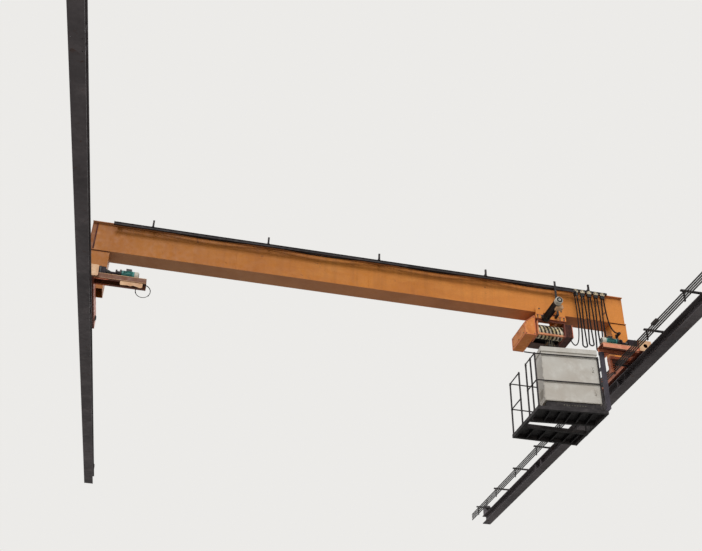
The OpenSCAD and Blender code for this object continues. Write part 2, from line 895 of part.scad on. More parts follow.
// The cable from the first carrier to the underside of the hoist's gear case, hanging in one loop
feed_route = [
    [0, 0, 0], [0, 0, -40], [3, 0, -150], [7, 0, -270], [10, 0, -390], [10, 2, -520], [8, 4, -650], [4, 8, -780],
    [-4, 16, -900], [-16, 30, -1000], [-34, 50, -1060], [-58, 76, -1080], [-82, 100, -1060], [-102, 120, -1010],
    [-114, 130, -968], [-114, 130, -918]
];

module feed_cable() {
    color(BLACK)
        tube([for (p = feed_route) [carrier_x - loop_out + p[0], festoon_y + p[1], saddle_z - 26 + p[2]]], 11);
}

// Hook block
module hook_block() {
    color("goldenrod")
        translate([hoist_mid, 0, sheave_z]) {
            for (s = [-1, 1])
                translate([s * (block_w / 2 - 6), 0, 0])
                    difference() {
                        union() {
                            rotate([0, 90, 0]) cylinder(d = sheave_d + 40, h = 12, center = true);
                            translate([-6, -55, -sheave_d / 2 - 60]) cube([12, 110, sheave_d / 2 + 60]);
                        }
                    }
            rotate([0, 90, 0]) cylinder(d = sheave_d - 30, h = block_w - 12, center = true);
            rotate([0, 90, 0]) cylinder(d = 40, h = block_w + 16, center = true);
            translate([-block_w / 2 + 6, -45, -sheave_d / 2 - 60]) cube([block_w - 12, 90, 46]);
        }
}

module hook() {
    r = 70;
    color(STEEL)
        translate([hoist_mid, 0, hook_z]) {
            translate([0, 0, -60]) cylinder(d = hook_t, h = 60);
            translate([0, 0, -60 - r])
                rotate([90, 0, 90])
                    rotate([0, 0, -180]) rotate_extrude(angle = 270) translate([r, 0]) circle(d = hook_t, $fn = 24);
        }
}

// The falls run from the sheave's sides to the underside of the winding
module rope_falls() {
    y = (sheave_d - 30) / 2 + rope_d / 2 + seat;
    top = drum_z - sqrt(pow(winding_r, 2) - pow(y - rope_d / 2, 2)) - seat;
    color(CREAM)
        for (x = [-22, 22], s = [-1, 1])
            translate([hoist_mid + x, s * y, sheave_z])
                cylinder(d = rope_d, h = top - sheave_z, $fn = 16);
}

runway_beams();
crane_rails();
end_stops();
conductor_arms();
conductor_bars();
feed_box();
end_trucks();
end_truck_plates();
travel_wheels();
pedestals();
girder_flanges();
girder_webs();
girder_end_plates();
drive_shelves();
drive_gearboxes();
drive_motors();
drive_cable_ring();
current_collector();
festoon_rail();
festoon_brackets();
platform_frame();
deck_plates();
near_guard_rail();
left_guard_rail();
far_guard_rail();
platform_hangers();
cabinet_plinth();
cabinet_body();
cabinet_doors();
cabinet_hood();
trolley_side_plates();
trolley_ties();
trolley_wheels();
trolley_motor();
motor_terminal_box();
hoist_frame();
hoist_drum();
hoist_motor();
hoist_gear_case();
hoist_end_box();
tow_arm();
feed_cable();
hook_block();
hook();
rope_falls();
cable_carrier(1);  // cable_carrier_1
cable_carrier(2);  // cable_carrier_2
cable_carrier(3);  // cable_carrier_3
cable_carrier(4);  // cable_carrier_4
cable_carrier(5);  // cable_carrier_5
festoon_loop(1);  // festoon_loop_1
festoon_loop(2);  // festoon_loop_2
festoon_loop(3);  // festoon_loop_3
festoon_loop(4);  // festoon_loop_4
festoon_end_cable();
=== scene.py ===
"""Overhead bridge crane: materials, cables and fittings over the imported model, in metres."""
import math
import bmesh
import bpy
from mathutils import Matrix, Vector


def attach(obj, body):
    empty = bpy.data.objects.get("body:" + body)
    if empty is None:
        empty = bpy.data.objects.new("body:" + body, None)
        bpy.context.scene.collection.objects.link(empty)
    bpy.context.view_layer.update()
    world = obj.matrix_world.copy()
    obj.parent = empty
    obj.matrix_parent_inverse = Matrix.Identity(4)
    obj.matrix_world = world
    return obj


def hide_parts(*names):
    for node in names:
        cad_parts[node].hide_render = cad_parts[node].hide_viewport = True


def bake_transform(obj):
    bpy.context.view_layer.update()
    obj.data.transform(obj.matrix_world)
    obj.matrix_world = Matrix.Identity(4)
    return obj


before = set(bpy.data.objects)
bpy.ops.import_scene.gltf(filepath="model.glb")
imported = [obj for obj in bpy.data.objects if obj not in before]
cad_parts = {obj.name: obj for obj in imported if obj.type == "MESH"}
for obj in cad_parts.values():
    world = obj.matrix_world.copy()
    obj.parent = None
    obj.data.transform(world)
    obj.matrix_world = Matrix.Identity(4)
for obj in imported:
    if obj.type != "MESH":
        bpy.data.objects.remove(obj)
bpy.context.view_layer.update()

# The camera stands below and in front of the crane, near its left end.


def place_camera():
    """A camera at the photograph's place and angle."""
    yaw = math.radians(11.32)
    pitch = math.radians(33.67)
    roll = math.radians(-1.84)
    forward = Vector((
        math.sin(yaw) * math.cos(pitch),
        math.cos(yaw) * math.cos(pitch),
        math.sin(pitch),
    ))
    level = Vector((math.cos(yaw), -math.sin(yaw), 0.0))
    downward = forward.cross(level)
    right = level * math.cos(roll) + downward * math.sin(roll)
    down = downward * math.cos(roll) - level * math.sin(roll)
    data = bpy.data.cameras.new("camera")
    data.sensor_fit = "HORIZONTAL"
    data.sensor_width = 36.0
    data.lens = 958.9 / 702.0 * 36.0
    data.clip_start = 0.1
    data.clip_end = 400.0
    camera = bpy.data.objects.new("camera", data)
    bpy.context.scene.collection.objects.link(camera)
    turn = Matrix((right, -down, -forward)).transposed()
    camera.matrix_world = Matrix.Translation((1.691, -14.758, -8.426)) @ turn.to_4x4()
    bpy.context.scene.camera = camera


SPAN = 10.0  # between the two crane rails

# Mesh tools: a shape gathers closed parts, and becomes one piece.


def frame_of(axis):
    """Two directions at right angles to an axis."""
    axis = Vector(axis).normalized()
    helper = Vector((0, 0, 1)) if abs(axis.z) < 0.9 else Vector((1, 0, 0))
    first = helper.cross(axis).normalized()
    return axis, first, axis.cross(first)


def around(count, radius, first=0.0):
    """Pairs that lie evenly on a circle."""
    angles = [first + 2 * math.pi * i / count for i in range(count)]
    return [(radius * math.cos(a), radius * math.sin(a)) for a in angles]


class Shape:
    """Closed parts that are gathered into one mesh."""

    def __init__(self):
        self.verts = []
        self.faces = []
        self.paint = []

    def add(self, verts, faces, paint=0):
        base = len(self.verts)
        self.verts += [Vector(v) for v in verts]
        self.faces += [tuple(base + i for i in face) for face in faces]
        self.paint += [paint] * len(faces)

    def prism(self, outline, axis, low, high, paint=0):
        """An outline drawn in the two other axes, in their order, and pushed from low to high."""
        def place(a, b, c):
            if axis == "X":
                return (c, a, b)
            if axis == "Y":
                return (a, c, b)
            return (a, b, c)
        count = len(outline)
        verts = [place(a, b, low) for a, b in outline] + [place(a, b, high) for a, b in outline]
        faces = [tuple(range(count)), tuple(range(count, 2 * count))]
        faces += [(i, (i + 1) % count, count + (i + 1) % count, count + i) for i in range(count)]
        self.add(verts, faces, paint)

    def block(self, low, high, edge=0.002, paint=0):
        """A block with chamfered edges."""
        x0, y0, z0 = low
        x1, y1, z1 = high
        e = min(edge, (x1 - x0) / 3, (y1 - y0) / 3, (z1 - z0) / 3)
        rings = []
        for z, inset in ((z0, e), (z0 + e, 0.0), (z1 - e, 0.0), (z1, e)):
            a0, a1, b0, b1 = x0 + inset, x1 - inset, y0 + inset, y1 - inset
            c = e if inset == 0.0 else 0.0
            rings.append([
                (a0 + c, b0, z), (a1 - c, b0, z), (a1, b0 + c, z), (a1, b1 - c, z),
                (a1 - c, b1, z), (a0 + c, b1, z), (a0, b1 - c, z), (a0, b0 + c, z),
            ])
        verts = [v for ring in rings for v in ring]
        faces = [tuple(range(8)), tuple(range(24, 32))]
        for r in range(3):
            for i in range(8):
                j = (i + 1) % 8
                faces.append((8 * r + i, 8 * r + j, 8 * r + 8 + j, 8 * r + 8 + i))
        self.add(verts, faces, paint)

    def blocks(self, edge, boxes, paint=0):
        """Blocks that share an edge size; a box is its low corner and its high corner."""
        for box in boxes:
            self.block(box[:3], box[3:], edge, paint)

    def lathe(self, origin, axis, profile, sides=24, paint=0):
        """A profile of (distance along the axis, radius) pairs, turned about the axis."""
        axis, first, second = frame_of(axis)
        origin = Vector(origin)
        verts = []
        for along, radius in profile:
            for i in range(sides):
                angle = 2 * math.pi * i / sides
                side = first * math.cos(angle) + second * math.sin(angle)
                verts.append(origin + axis * along + side * max(radius, 0.0))
        faces = [tuple(range(sides)), tuple(range(len(verts) - sides, len(verts)))]
        for r in range(len(profile) - 1):
            for i in range(sides):
                j = (i + 1) % sides
                faces.append((sides * r + i, sides * r + j, sides * (r + 1) + j, sides * (r + 1) + i))
        self.add(verts, faces, paint)

    def rod(self, start, end, radius, sides=16, edge=0.001, paint=0):
        """A round bar with chamfered ends."""
        start, end = Vector(start), Vector(end)
        length = (end - start).length
        edge = min(edge, length / 3, radius / 2)
        profile = [(0, radius - edge), (edge, radius), (length - edge, radius), (length, radius - edge)]
        self.lathe(start, end - start, profile, sides, paint)

    def tube(self, points, radius, sides=12, closed=False, paint=0):
        """A round tube along points."""
        points = [Vector(p) for p in points]
        count = len(points)
        verts = []
        side = None
        for i, p in enumerate(points):
            if closed:
                along = points[(i + 1) % count] - points[i - 1]
            else:
                along = points[min(i + 1, count - 1)] - points[max(i - 1, 0)]
            along.normalize()
            if side is None:
                side = frame_of(along)[1]
            side = (side - along * side.dot(along)).normalized()
            other = along.cross(side)
            for k in range(sides):
                angle = 2 * math.pi * k / sides
                verts.append(p + side * radius * math.cos(angle) + other * radius * math.sin(angle))
        faces = []
        rings = count if closed else count - 1
        for i in range(rings):
            a, b = sides * i, sides * ((i + 1) % count)
            for k in range(sides):
                m = (k + 1) % sides
                faces.append((a + k, a + m, b + m, b + k))
        if not closed:
            faces += [tuple(range(sides)), tuple(range(sides * (count - 1), sides * count))]
        self.add(verts, faces, paint)

    def piece(self, name, body, slot, *materials, angle=35.0):
        """The finished piece, riding on a body; without materials it has its slot's paint."""
        mesh = bpy.data.meshes.new(name)
        mesh.from_pydata([tuple(v) for v in self.verts], [], self.faces)
        for material in materials or (PAINTS[slot],):
            mesh.materials.append(material)
        for face, index in zip(mesh.polygons, self.paint):
            face.material_index = index
            face.use_smooth = True
        work = bmesh.new()
        work.from_mesh(mesh)
        bmesh.ops.recalc_face_normals(work, faces=work.faces)
        work.to_mesh(mesh)
        work.free()
        mesh.set_sharp_from_angle(angle=math.radians(angle))
        made = bpy.data.objects.new(name, mesh)
        bpy.context.scene.collection.objects.link(made)
        if body:
            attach(made, body)
        return made


# Procedural materials on the object's own coordinates.


def colour(red, green, blue):
    """A colour written in 0 to 255 as it shows, in Blender's linear values."""
    def linear(c):
        c = c / 255.0
        return c / 12.92 if c <= 0.04045 else ((c + 0.055) / 1.055) ** 2.4
    return (linear(red), linear(green), linear(blue), 1.0)


class Recipe:
    """Makes the nodes of one material."""

    def __init__(self, name):
        self.material = bpy.data.materials.new(name)
        self.material.use_nodes = True
        self.nodes = self.material.node_tree.nodes
        self.links = self.material.node_tree.links
        self.shader = self.nodes["Principled BSDF"]
        self.place = self.nodes.new("ShaderNodeTexCoord").outputs["Object"]
        self.normal = self.nodes.new("ShaderNodeNewGeometry").outputs["Normal"]

    def put(self, socket, value):
        if isinstance(value, bpy.types.NodeSocket):
            self.links.new(value, socket)
        else:
            socket.default_value = value

    def stretched(self, x, y, z):
        node = self.nodes.new("ShaderNodeMapping")
        node.inputs["Scale"].default_value = (x, y, z)
        self.links.new(self.place, node.inputs["Vector"])
        return node.outputs["Vector"]

    def noise(self, scale, detail=4.0, roughness=0.6, place=None, distortion=0.0):
        node = self.nodes.new("ShaderNodeTexNoise")
        node.inputs["Scale"].default_value = scale
        node.inputs["Detail"].default_value = detail
        node.inputs["Roughness"].default_value = roughness
        node.inputs["Distortion"].default_value = distortion
        self.links.new(place or self.place, node.inputs["Vector"])
        return node.outputs["Fac"]

    def range(self, value, low, high, new_low=0.0, new_high=1.0):
        node = self.nodes.new("ShaderNodeMapRange")
        self.put(node.inputs["Value"], value)
        node.inputs["From Min"].default_value = low
        node.inputs["From Max"].default_value = high
        node.inputs["To Min"].default_value = new_low
        node.inputs["To Max"].default_value = new_high
        return node.outputs["Result"]

    def math(self, operation, a, b=0.0):
        node = self.nodes.new("ShaderNodeMath")
        node.operation = operation
        self.put(node.inputs[0], a)
        self.put(node.inputs[1], b)
        return node.outputs["Value"]

    def axis(self, vector, name):
        node = self.nodes.new("ShaderNodeSeparateXYZ")
        self.links.new(vector, node.inputs["Vector"])
        return node.outputs[name]

    def mix(self, factor, a, b):
        node = self.nodes.new("ShaderNodeMix")
        node.data_type = "RGBA"
        self.put(node.inputs[0], factor)
        self.put(node.inputs[6], a)
        self.put(node.inputs[7], b)
        return node.outputs[2]

    def bump(self, height, distance, strength=1.0):
        node = self.nodes.new("ShaderNodeBump")
        node.inputs["Strength"].default_value = strength
        node.inputs["Distance"].default_value = distance
        self.links.new(height, node.inputs["Height"])
        self.links.new(node.outputs["Normal"], self.shader.inputs["Normal"])

    def finish(self, base, roughness, metallic=0.0):
        self.put(self.shader.inputs["Base Color"], base)
        self.put(self.shader.inputs["Roughness"], roughness)
        self.put(self.shader.inputs["Metallic"], metallic)
        return self.material


def weathered(name, base, shade, pale=None, patch=1.4, fine=28.0, rust=0.0, rust_tone=(96, 52, 30),
              dust=0.25, dust_tone=(168, 158, 142), streak=0.0, rough=(0.45, 0.75), metallic=0.0,
              relief=0.0006, underside_shade=None, left=None, shine=0.5):
    """Old paint or metal with patches, grain, streaks, rust, dust on top, and painted shade on the downward
    faces.

    left is a painted shade tone that darkens the near faces of the crane's left half only.
    """
    r = Recipe(name)
    patches = r.range(r.noise(patch, 5.0, 0.62, distortion=0.4), 0.34, 0.68)
    tone = r.mix(patches, colour(*base), colour(*shade))
    grain = r.noise(fine, 6.0, 0.7)
    if pale:
        tone = r.mix(r.range(r.noise(patch * 2.7, 4.0, 0.6), 0.52, 0.78, 0.0, 0.8), tone, colour(*pale))
    tone = r.mix(r.range(grain, 0.35, 0.75, 0.0, 0.3), tone, colour(*shade))
    if streak:
        runs = r.noise(1.0, 4.0, 0.6, r.stretched(9.0, 9.0, 0.7))
        tone = r.mix(r.range(runs, 0.5, 0.8, 0.0, streak), tone, colour(*shade))
    if rust:
        spots = r.noise(7.0, 8.0, 0.72, distortion=0.6)
        rusted = r.range(spots, 0.74 - 0.28 * rust, 0.82 - 0.28 * rust)
        dark_rust = colour(*[int(c * 0.55) for c in rust_tone])
        tone = r.mix(rusted, tone, r.mix(grain, colour(*rust_tone), dark_rust))
    if dust:
        up = r.range(r.axis(r.normal, "Z"), 0.3, 0.95)
        settled = r.range(r.noise(4.0, 5.0, 0.65), 0.25, 0.7, 0.35 * dust, min(1.0, 1.6 * dust))
        tone = r.mix(r.math("MULTIPLY", up, settled), tone, colour(*dust_tone))
    # Painted shade: the near faces of the crane's left half are darkened toward the left tone.
    if left:
        near_left = r.range(r.axis(r.place, "X"), SPAN / 2 - 0.1, SPAN / 2 + 0.1, 0.95, 0.0)
        near = r.range(r.axis(r.normal, "Y"), -0.9, -0.5, 1.0, 0.3)
        left_near_shade = r.mix(r.range(grain, 0.6, 0.9, 0.0, 0.4), colour(*left), tone)
        tone = r.mix(r.math("MULTIPLY", near_left, near), tone, left_near_shade)
    # Painted shade: faces that look down are darkened toward the given shade tone.
    if underside_shade:
        below = r.range(r.axis(r.normal, "Z"), -0.9, -0.4, 1.0, 0.0)
        tone = r.mix(r.math("MULTIPLY", below, r.range(grain, 0.2, 0.6, 0.75, 0.95)), tone, colour(*underside_shade))
    r.bump(grain, relief)
    r.shader.inputs["Specular IOR Level"].default_value = shine
    return r.finish(tone, r.range(r.noise(fine * 0.4, 4.0, 0.6), 0.3, 0.7, rough[0], rough[1]), metallic)


# Materials of the record's slots, and of small things that have none.

# Tones given for the downward faces of a paint are painted shade.
PAINTS = {
    "beam_paint": weathered(
        "beam_paint", (96, 90, 93), (62, 57, 60), (120, 112, 114), patch=0.9, rust=0.5,
        rust_tone=(88, 56, 42), dust=0.5, streak=0.4, rough=(0.55, 0.85)),
    "rail_steel": weathered(
        "rail_steel", (112, 106, 100), (70, 62, 56), (150, 144, 136), patch=3.0, rust=0.7,
        dust=0.1, rough=(0.3, 0.6), metallic=0.6),
    "dark_steel": weathered(
        "dark_steel", (52, 47, 48), (28, 24, 25), (82, 76, 74), patch=2.4, rust=0.25,
        rust_tone=(78, 50, 38), dust=0.45, rough=(0.5, 0.8), underside_shade=(8, 6, 8), shine=0.3),
    "hanger_paint": weathered(
        "hanger_paint", (66, 60, 70), (42, 36, 46), (88, 84, 96), patch=3.0, rust=0.3, dust=0.3,
        streak=0.3, underside_shade=(24, 20, 24)),
    "bar_plastic": weathered(
        "bar_plastic", (32, 26, 24), (18, 14, 13), (52, 44, 40), patch=4.0, dust=0.5,
        rough=(0.5, 0.7), relief=0.0002),
    "truck_paint": weathered(
        "truck_paint", (208, 120, 80), (156, 78, 50), (226, 152, 114), patch=3.2, rust=0.35,
        rust_tone=(104, 48, 34), dust=0.45, dust_tone=(212, 184, 156), streak=0.35,
        underside_shade=(96, 40, 26)),
    "wheel_steel": weathered(
        "wheel_steel", (92, 86, 84), (54, 48, 46), (130, 124, 118), patch=6.0, rust=0.6,
        dust=0.15, rough=(0.35, 0.6), metallic=0.7),
    "gearbox_paint": weathered(
        "gearbox_paint", (84, 40, 28), (50, 24, 18), (112, 60, 44), patch=7.0, rust=0.2,
        dust=0.15, rough=(0.3, 0.6), shine=0.25),
    "motor_paint": weathered(
        "motor_paint", (44, 132, 124), (28, 84, 82), (96, 176, 164), patch=8.0, rust=0.1,
        dust=0.4, dust_tone=(190, 190, 176), rough=(0.35, 0.6)),
    "cable_rubber": weathered(
        "cable_rubber", (22, 18, 18), (12, 10, 10), (34, 29, 28), patch=5.0, fine=90.0,
        dust=0.12, rough=(0.55, 0.75), relief=0.0003, shine=0.2),
    "cabinet_paint": weathered(
        "cabinet_paint", (196, 193, 184), (176, 168, 156), (210, 208, 200), patch=1.6,
        dust=0.25, dust_tone=(186, 176, 160), streak=0.35, rough=(0.4, 0.6), relief=0.0003),
    "drum_steel": weathered(
        "drum_steel", (146, 132, 106), (76, 66, 52), (174, 160, 132), patch=9.0, rust=0.25,
        dust=0.15, rough=(0.3, 0.55), metallic=0.4),
    "rope_steel": weathered(
        "rope_steel", (112, 108, 92), (52, 48, 40), (150, 146, 128), patch=20.0, fine=160.0,
        dust=0.1, rough=(0.3, 0.55), metallic=0.5, relief=0.0004),
    # Painted shade: the hook block is painted mostly near black, its yellow only in patches.
    "hook_paint": weathered(
        "hook_paint", (52, 44, 38), (30, 26, 24), (158, 122, 50), patch=7.0, rust=0.4,
        dust=0.3),
    "hook_steel": weathered(
        "hook_steel", (48, 46, 46), (28, 26, 26), (84, 80, 78), patch=9.0, rust=0.45,
        dust=0.2, rough=(0.35, 0.6), metallic=0.6),
    "carrier_paint": weathered(
        "carrier_paint", (214, 198, 164), (160, 142, 112), (228, 218, 194), patch=9.0,
        rust=0.25, dust=0.2, rough=(0.35, 0.55)),
}
BLACK_PARTS = weathered(
    "black_parts", (24, 23, 25), (14, 13, 14), (46, 44, 46), patch=8.0, dust=0.35, rough=(0.35, 0.6))
PALE_COWL = weathered(
    "pale_cowl", (206, 204, 190), (164, 156, 140), patch=9.0, dust=0.3, rough=(0.4, 0.6))
BOLT_STEEL = weathered(
    "bolt_steel", (120, 114, 108), (66, 56, 50), (160, 154, 146), patch=30.0, fine=120.0,
    rust=0.5, dust=0.1, rough=(0.3, 0.55), metallic=0.7)
ORANGE_BOLTS = weathered(
    "painted_bolts", (164, 92, 46), (112, 60, 34), patch=20.0, rust=0.5, dust=0.3)


def girder_material():
    """Orange-yellow paint, darker brown towards the left end, with brown grime and painted shade at the
    top, painted light towards the right, and a brown underside.
    """
    r = Recipe("girder_paint")
    x = r.axis(r.place, "X")
    z = r.axis(r.place, "Z")
    base = colour(208, 130, 44)
    patches = r.range(r.noise(0.55, 5.0, 0.62, distortion=0.5), 0.36, 0.68)
    tone = r.mix(patches, base, colour(182, 106, 36))
    clouds = r.noise(1.0, 5.0, 0.65, r.stretched(1.3, 1.3, 3.4))
    tone = r.mix(r.range(clouds, 0.5, 0.75, 0.0, 0.6), tone, colour(224, 150, 66))
    left = r.math("MULTIPLY", r.range(x, 0.0, 5.5, 0.75, 0.1), r.range(clouds, 0.2, 0.7, 0.7, 1.0))
    tone = r.mix(left, tone, colour(146, 88, 28))
    tone = r.mix(r.range(x, -0.09, -0.07, 0.7, 0.0), tone, colour(112, 60, 30))
    runs = r.noise(1.0, 4.0, 0.6, r.stretched(7.0, 7.0, 0.5))
    tone = r.mix(r.range(runs, 0.5, 0.78, 0.0, 0.45), tone, colour(146, 86, 34))
    # Painted light: the web is painted lighter towards the right end.
    tone = r.mix(r.range(x, 6.0, 8.2, 0.0, 0.45), tone, colour(240, 152, 70))
    # Darker brown band at the top: partly grime, partly painted shade under the festoon rail and cable.
    high = r.math("MULTIPLY", r.range(z, 1.66, 1.86), r.range(runs, 0.3, 0.65, 0.1, 0.5))
    tone = r.mix(high, tone, colour(128, 74, 34))
    grain = r.noise(30.0, 6.0, 0.7)
    tone = r.mix(r.range(grain, 0.4, 0.75, 0.0, 0.25), tone, colour(144, 86, 36))
    spots = r.noise(5.0, 8.0, 0.74, distortion=0.7)
    tone = r.mix(r.range(spots, 0.63, 0.7), tone, r.mix(grain, colour(98, 52, 34), colour(60, 36, 28)))
    # Downward faces take a greyer brown on the left and a warmer brown on the right.
    below = r.range(r.axis(r.normal, "Z"), -0.9, -0.4, 1.0, 0.0)
    underside_tone = r.mix(r.range(x, 0.0, 9.0), colour(176, 130, 92), colour(196, 122, 74))
    underside_tone = r.mix(r.range(clouds, 0.4, 0.7, 0.0, 0.7), underside_tone, colour(152, 96, 62))
    tone = r.mix(r.math("MULTIPLY", below, 0.9), tone, underside_tone)
    up = r.range(r.axis(r.normal, "Z"), 0.3, 0.95)
    tone = r.mix(r.math("MULTIPLY", up, r.range(spots, 0.3, 0.6, 0.35, 0.8)), tone, colour(150, 136, 116))
    r.bump(grain, 0.0006)
    r.shader.inputs["Specular IOR Level"].default_value = 0.3
    return r.finish(tone, r.range(r.noise(9.0), 0.3, 0.7, 0.42, 0.7))


PAINTS["girder_paint"] = girder_material()

NODE_SLOTS = {}
for slot_name, node_names in {
    "beam_paint": "runway_beams end_stops",
    "rail_steel": "crane_rails",
    "dark_steel": "conductor_arms festoon_rail festoon_brackets tow_arm platform_frame deck_plates"
                  " near_guard_rail left_guard_rail far_guard_rail cabinet_plinth",
    "hanger_paint": "platform_hangers",
    "bar_plastic": "conductor_bars feed_box",
    "truck_paint": "end_trucks end_truck_plates drive_shelves current_collector",
    "wheel_steel": "travel_wheels trolley_wheels",
    "gearbox_paint": "drive_gearboxes hoist_gear_case",
    "motor_paint": "drive_motors trolley_motor hoist_motor",
    "cable_rubber": "drive_cable_ring feed_cable festoon_end_cable",
    "cabinet_paint": "cabinet_body cabinet_doors cabinet_hood motor_terminal_box",
    "drum_steel": "hoist_drum",
    "rope_steel": "rope_falls",
    "hook_paint": "hook_block",
    "hook_steel": "hook",
}.items():
    for node_name in node_names.split():
        NODE_SLOTS[node_name] = slot_name
for node_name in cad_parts:
    if node_name.startswith("cable_carrier"):
        NODE_SLOTS[node_name] = "carrier_paint"
    elif node_name.startswith("festoon_loop"):
        NODE_SLOTS[node_name] = "cable_rubber"
for node_name, cad_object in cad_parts.items():
    paint = PAINTS[NODE_SLOTS.get(node_name, "girder_paint")]
    cad_object.data.materials.clear()
    cad_object.data.materials.append(paint)


place_camera()

# Cables: their routes repeat the points of the part's source, in metres.


def smoothed(points, steps=4):
    """A smooth line through points."""
    points = [Vector(p) for p in points]
    line = []
    for i in range(len(points) - 1):
        before = points[i - 1] if i else points[0] * 2 - points[1]
        after = points[i + 2] if i + 2 < len(points) else points[-1] * 2 - points[-2]
        start, end = points[i], points[i + 1]
        for k in range(steps):
            t = k / steps
            line.append(0.5 * (
                2 * start + (end - before) * t
                + (2 * before - 5 * start + 4 * end - after) * t ** 2
                + (3 * start - before - 3 * end + after) * t ** 3
            ))
    line.append(points[-1])
    return line


def beside(points, distance):
    """The line moved sideways in its own upright plane."""
    moved = []
    for i, p in enumerate(points):
        along = points[min(i + 1, len(points) - 1)] - points[max(i - 1, 0)]
        side = along.normalized().cross(Vector((0, 1, 0)))
        moved.append(p + side.normalized() * distance)
    return moved


def hanging_cable(name, body, points, diameter, node, sides=12):
    """A cable as a mesh tube, in place of the model's own cable part, which is hidden."""
    shape = Shape()
    shape.tube(points, diameter / 2, sides)
    cable = shape.piece(name, body, "cable_rubber", PAINTS["cable_rubber"], angle=60.0)
    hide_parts(node)
    return cable


CARRIER_X = 9.053
CARRIER_PITCH = 0.138
CLAMP_REACH = 0.024  # from a carrier's middle to the cable at its side
FESTOON_Y = -0.28
CLAMP_Z = 1.698
SIDE_BY_SIDE = (("outer", 0.0075), ("inner", -0.0075))
FLAT_CABLE = 0.0146


def loop_points(x0, x1, drop):
    """A hanging loop from x0 to x1, square to its clamps and narrow at half height."""
    r = (x1 - x0) / 2
    middle = (x0 + x1) / 2
    top = CLAMP_Z - 0.04
    bottom = CLAMP_Z - drop + r
    down = []
    for i in range(9):
        reach = r * (1 - 0.4 * math.sin(math.pi * i / 9))
        down.append((middle - reach, FESTOON_Y, top + (bottom - top) * i / 9))
    turn = []
    for i in range(9):
        angle = math.pi * i / 8
        turn.append((middle - r * math.cos(angle), FESTOON_Y, bottom - r * math.sin(angle)))
    up = [(2 * middle - x, y, z) for x, y, z in reversed(down)]
    return [(x0, FESTOON_Y, CLAMP_Z)] + down + turn + up + [(x1, FESTOON_Y, CLAMP_Z)]


for k in range(1, 5):
    x_here = CARRIER_X + (k - 1) * CARRIER_PITCH
    start_x = x_here + CLAMP_REACH
    end_x = x_here + CARRIER_PITCH - CLAMP_REACH
    centre_line = smoothed(loop_points(start_x, end_x, 1.19 - (k % 3) * 0.05))
    # Each loop is two cables side by side, baked in place on no body.
    for side_name, offset in SIDE_BY_SIDE:
        cable = hanging_cable(
            f"festoon_cable_{k}_{side_name}", None, beside(centre_line, offset), FLAT_CABLE,
            f"festoon_loop_{k}")
        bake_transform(cable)

END_ROUTE = [
    (-369, 0, 0), (-369, 0, -40), (-366, 0, -160), (-358, 0, -290), (-345, 0, -420), (-328, 0, -520),
    (-306, 0, -600), (-280, 0, -660), (-250, 0, -704), (-215, 0, -728), (-185, 0, -733), (-160, 0, -733),
]
end_line = smoothed([
    (SPAN + x / 1000, FESTOON_Y + y / 1000, CLAMP_Z + z / 1000) for x, y, z in END_ROUTE
])
for side_name, offset in SIDE_BY_SIDE:
    cable = hanging_cable(
        f"end_cable_{side_name}", None, beside(end_line, offset), FLAT_CABLE, "festoon_end_cable")
    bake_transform(cable)

FEED_ROUTE = [
    (0, 0, 0), (0, 0, -40), (3, 0, -150), (7, 0, -270), (10, 0, -390), (10, 2, -520), (8, 4, -650),
    (4, 8, -780), (-4, 16, -900), (-16, 30, -1000), (-34, 50, -1060), (-58, 76, -1080),
    (-82, 100, -1060), (-102, 120, -1010), (-114, 130, -968), (-114, 130, -918),
]
feed_line = smoothed([
    (9.029 + x / 1000, FESTOON_Y + y / 1000, CLAMP_Z + z / 1000) for x, y, z in FEED_ROUTE
])
hanging_cable("hoist_feed_cable", "trolley", feed_line, 0.022, "feed_cable")

RING_CENTRE = Vector((0.950, -0.83, 0.1237))
RING_RADIUS = 0.122
ring_line = []
for i in range(73):
    angle = 2 * math.pi * i / 24
    radius = RING_RADIUS + 0.003 * math.sin(angle * 0.7)
    ring_line.append(RING_CENTRE + Vector((
        radius * math.sin(angle), -0.0095 + 0.019 * i / 72, radius * math.cos(angle))))
hanging_cable(
    "spare_cable_coil", "bridge", ring_line, 0.0088, "drive_cable_ring", 8)
coil_ties = Shape()
for angle in (0.0, 2.2, 4.4):
    here = RING_CENTRE + Vector((RING_RADIUS * math.sin(angle), 0.0, RING_RADIUS * math.cos(angle)))
    along = Vector((math.cos(angle), 0.0, -math.sin(angle)))
    out = Vector((math.sin(angle), 0.0, math.cos(angle)))
    belt = [here + out * 0.0075 * a + Vector((0, 1, 0)) * 0.0140 * b for a, b in around(16, 1.0)]
    for shift in (-0.004, 0.0, 0.004):
        coil_ties.tube([p + along * shift for p in belt], 0.0022, 6, closed=True)
coil_ties.piece("coil_ties", "bridge", "cable_rubber", BLACK_PARTS)

# Light, background and floor.


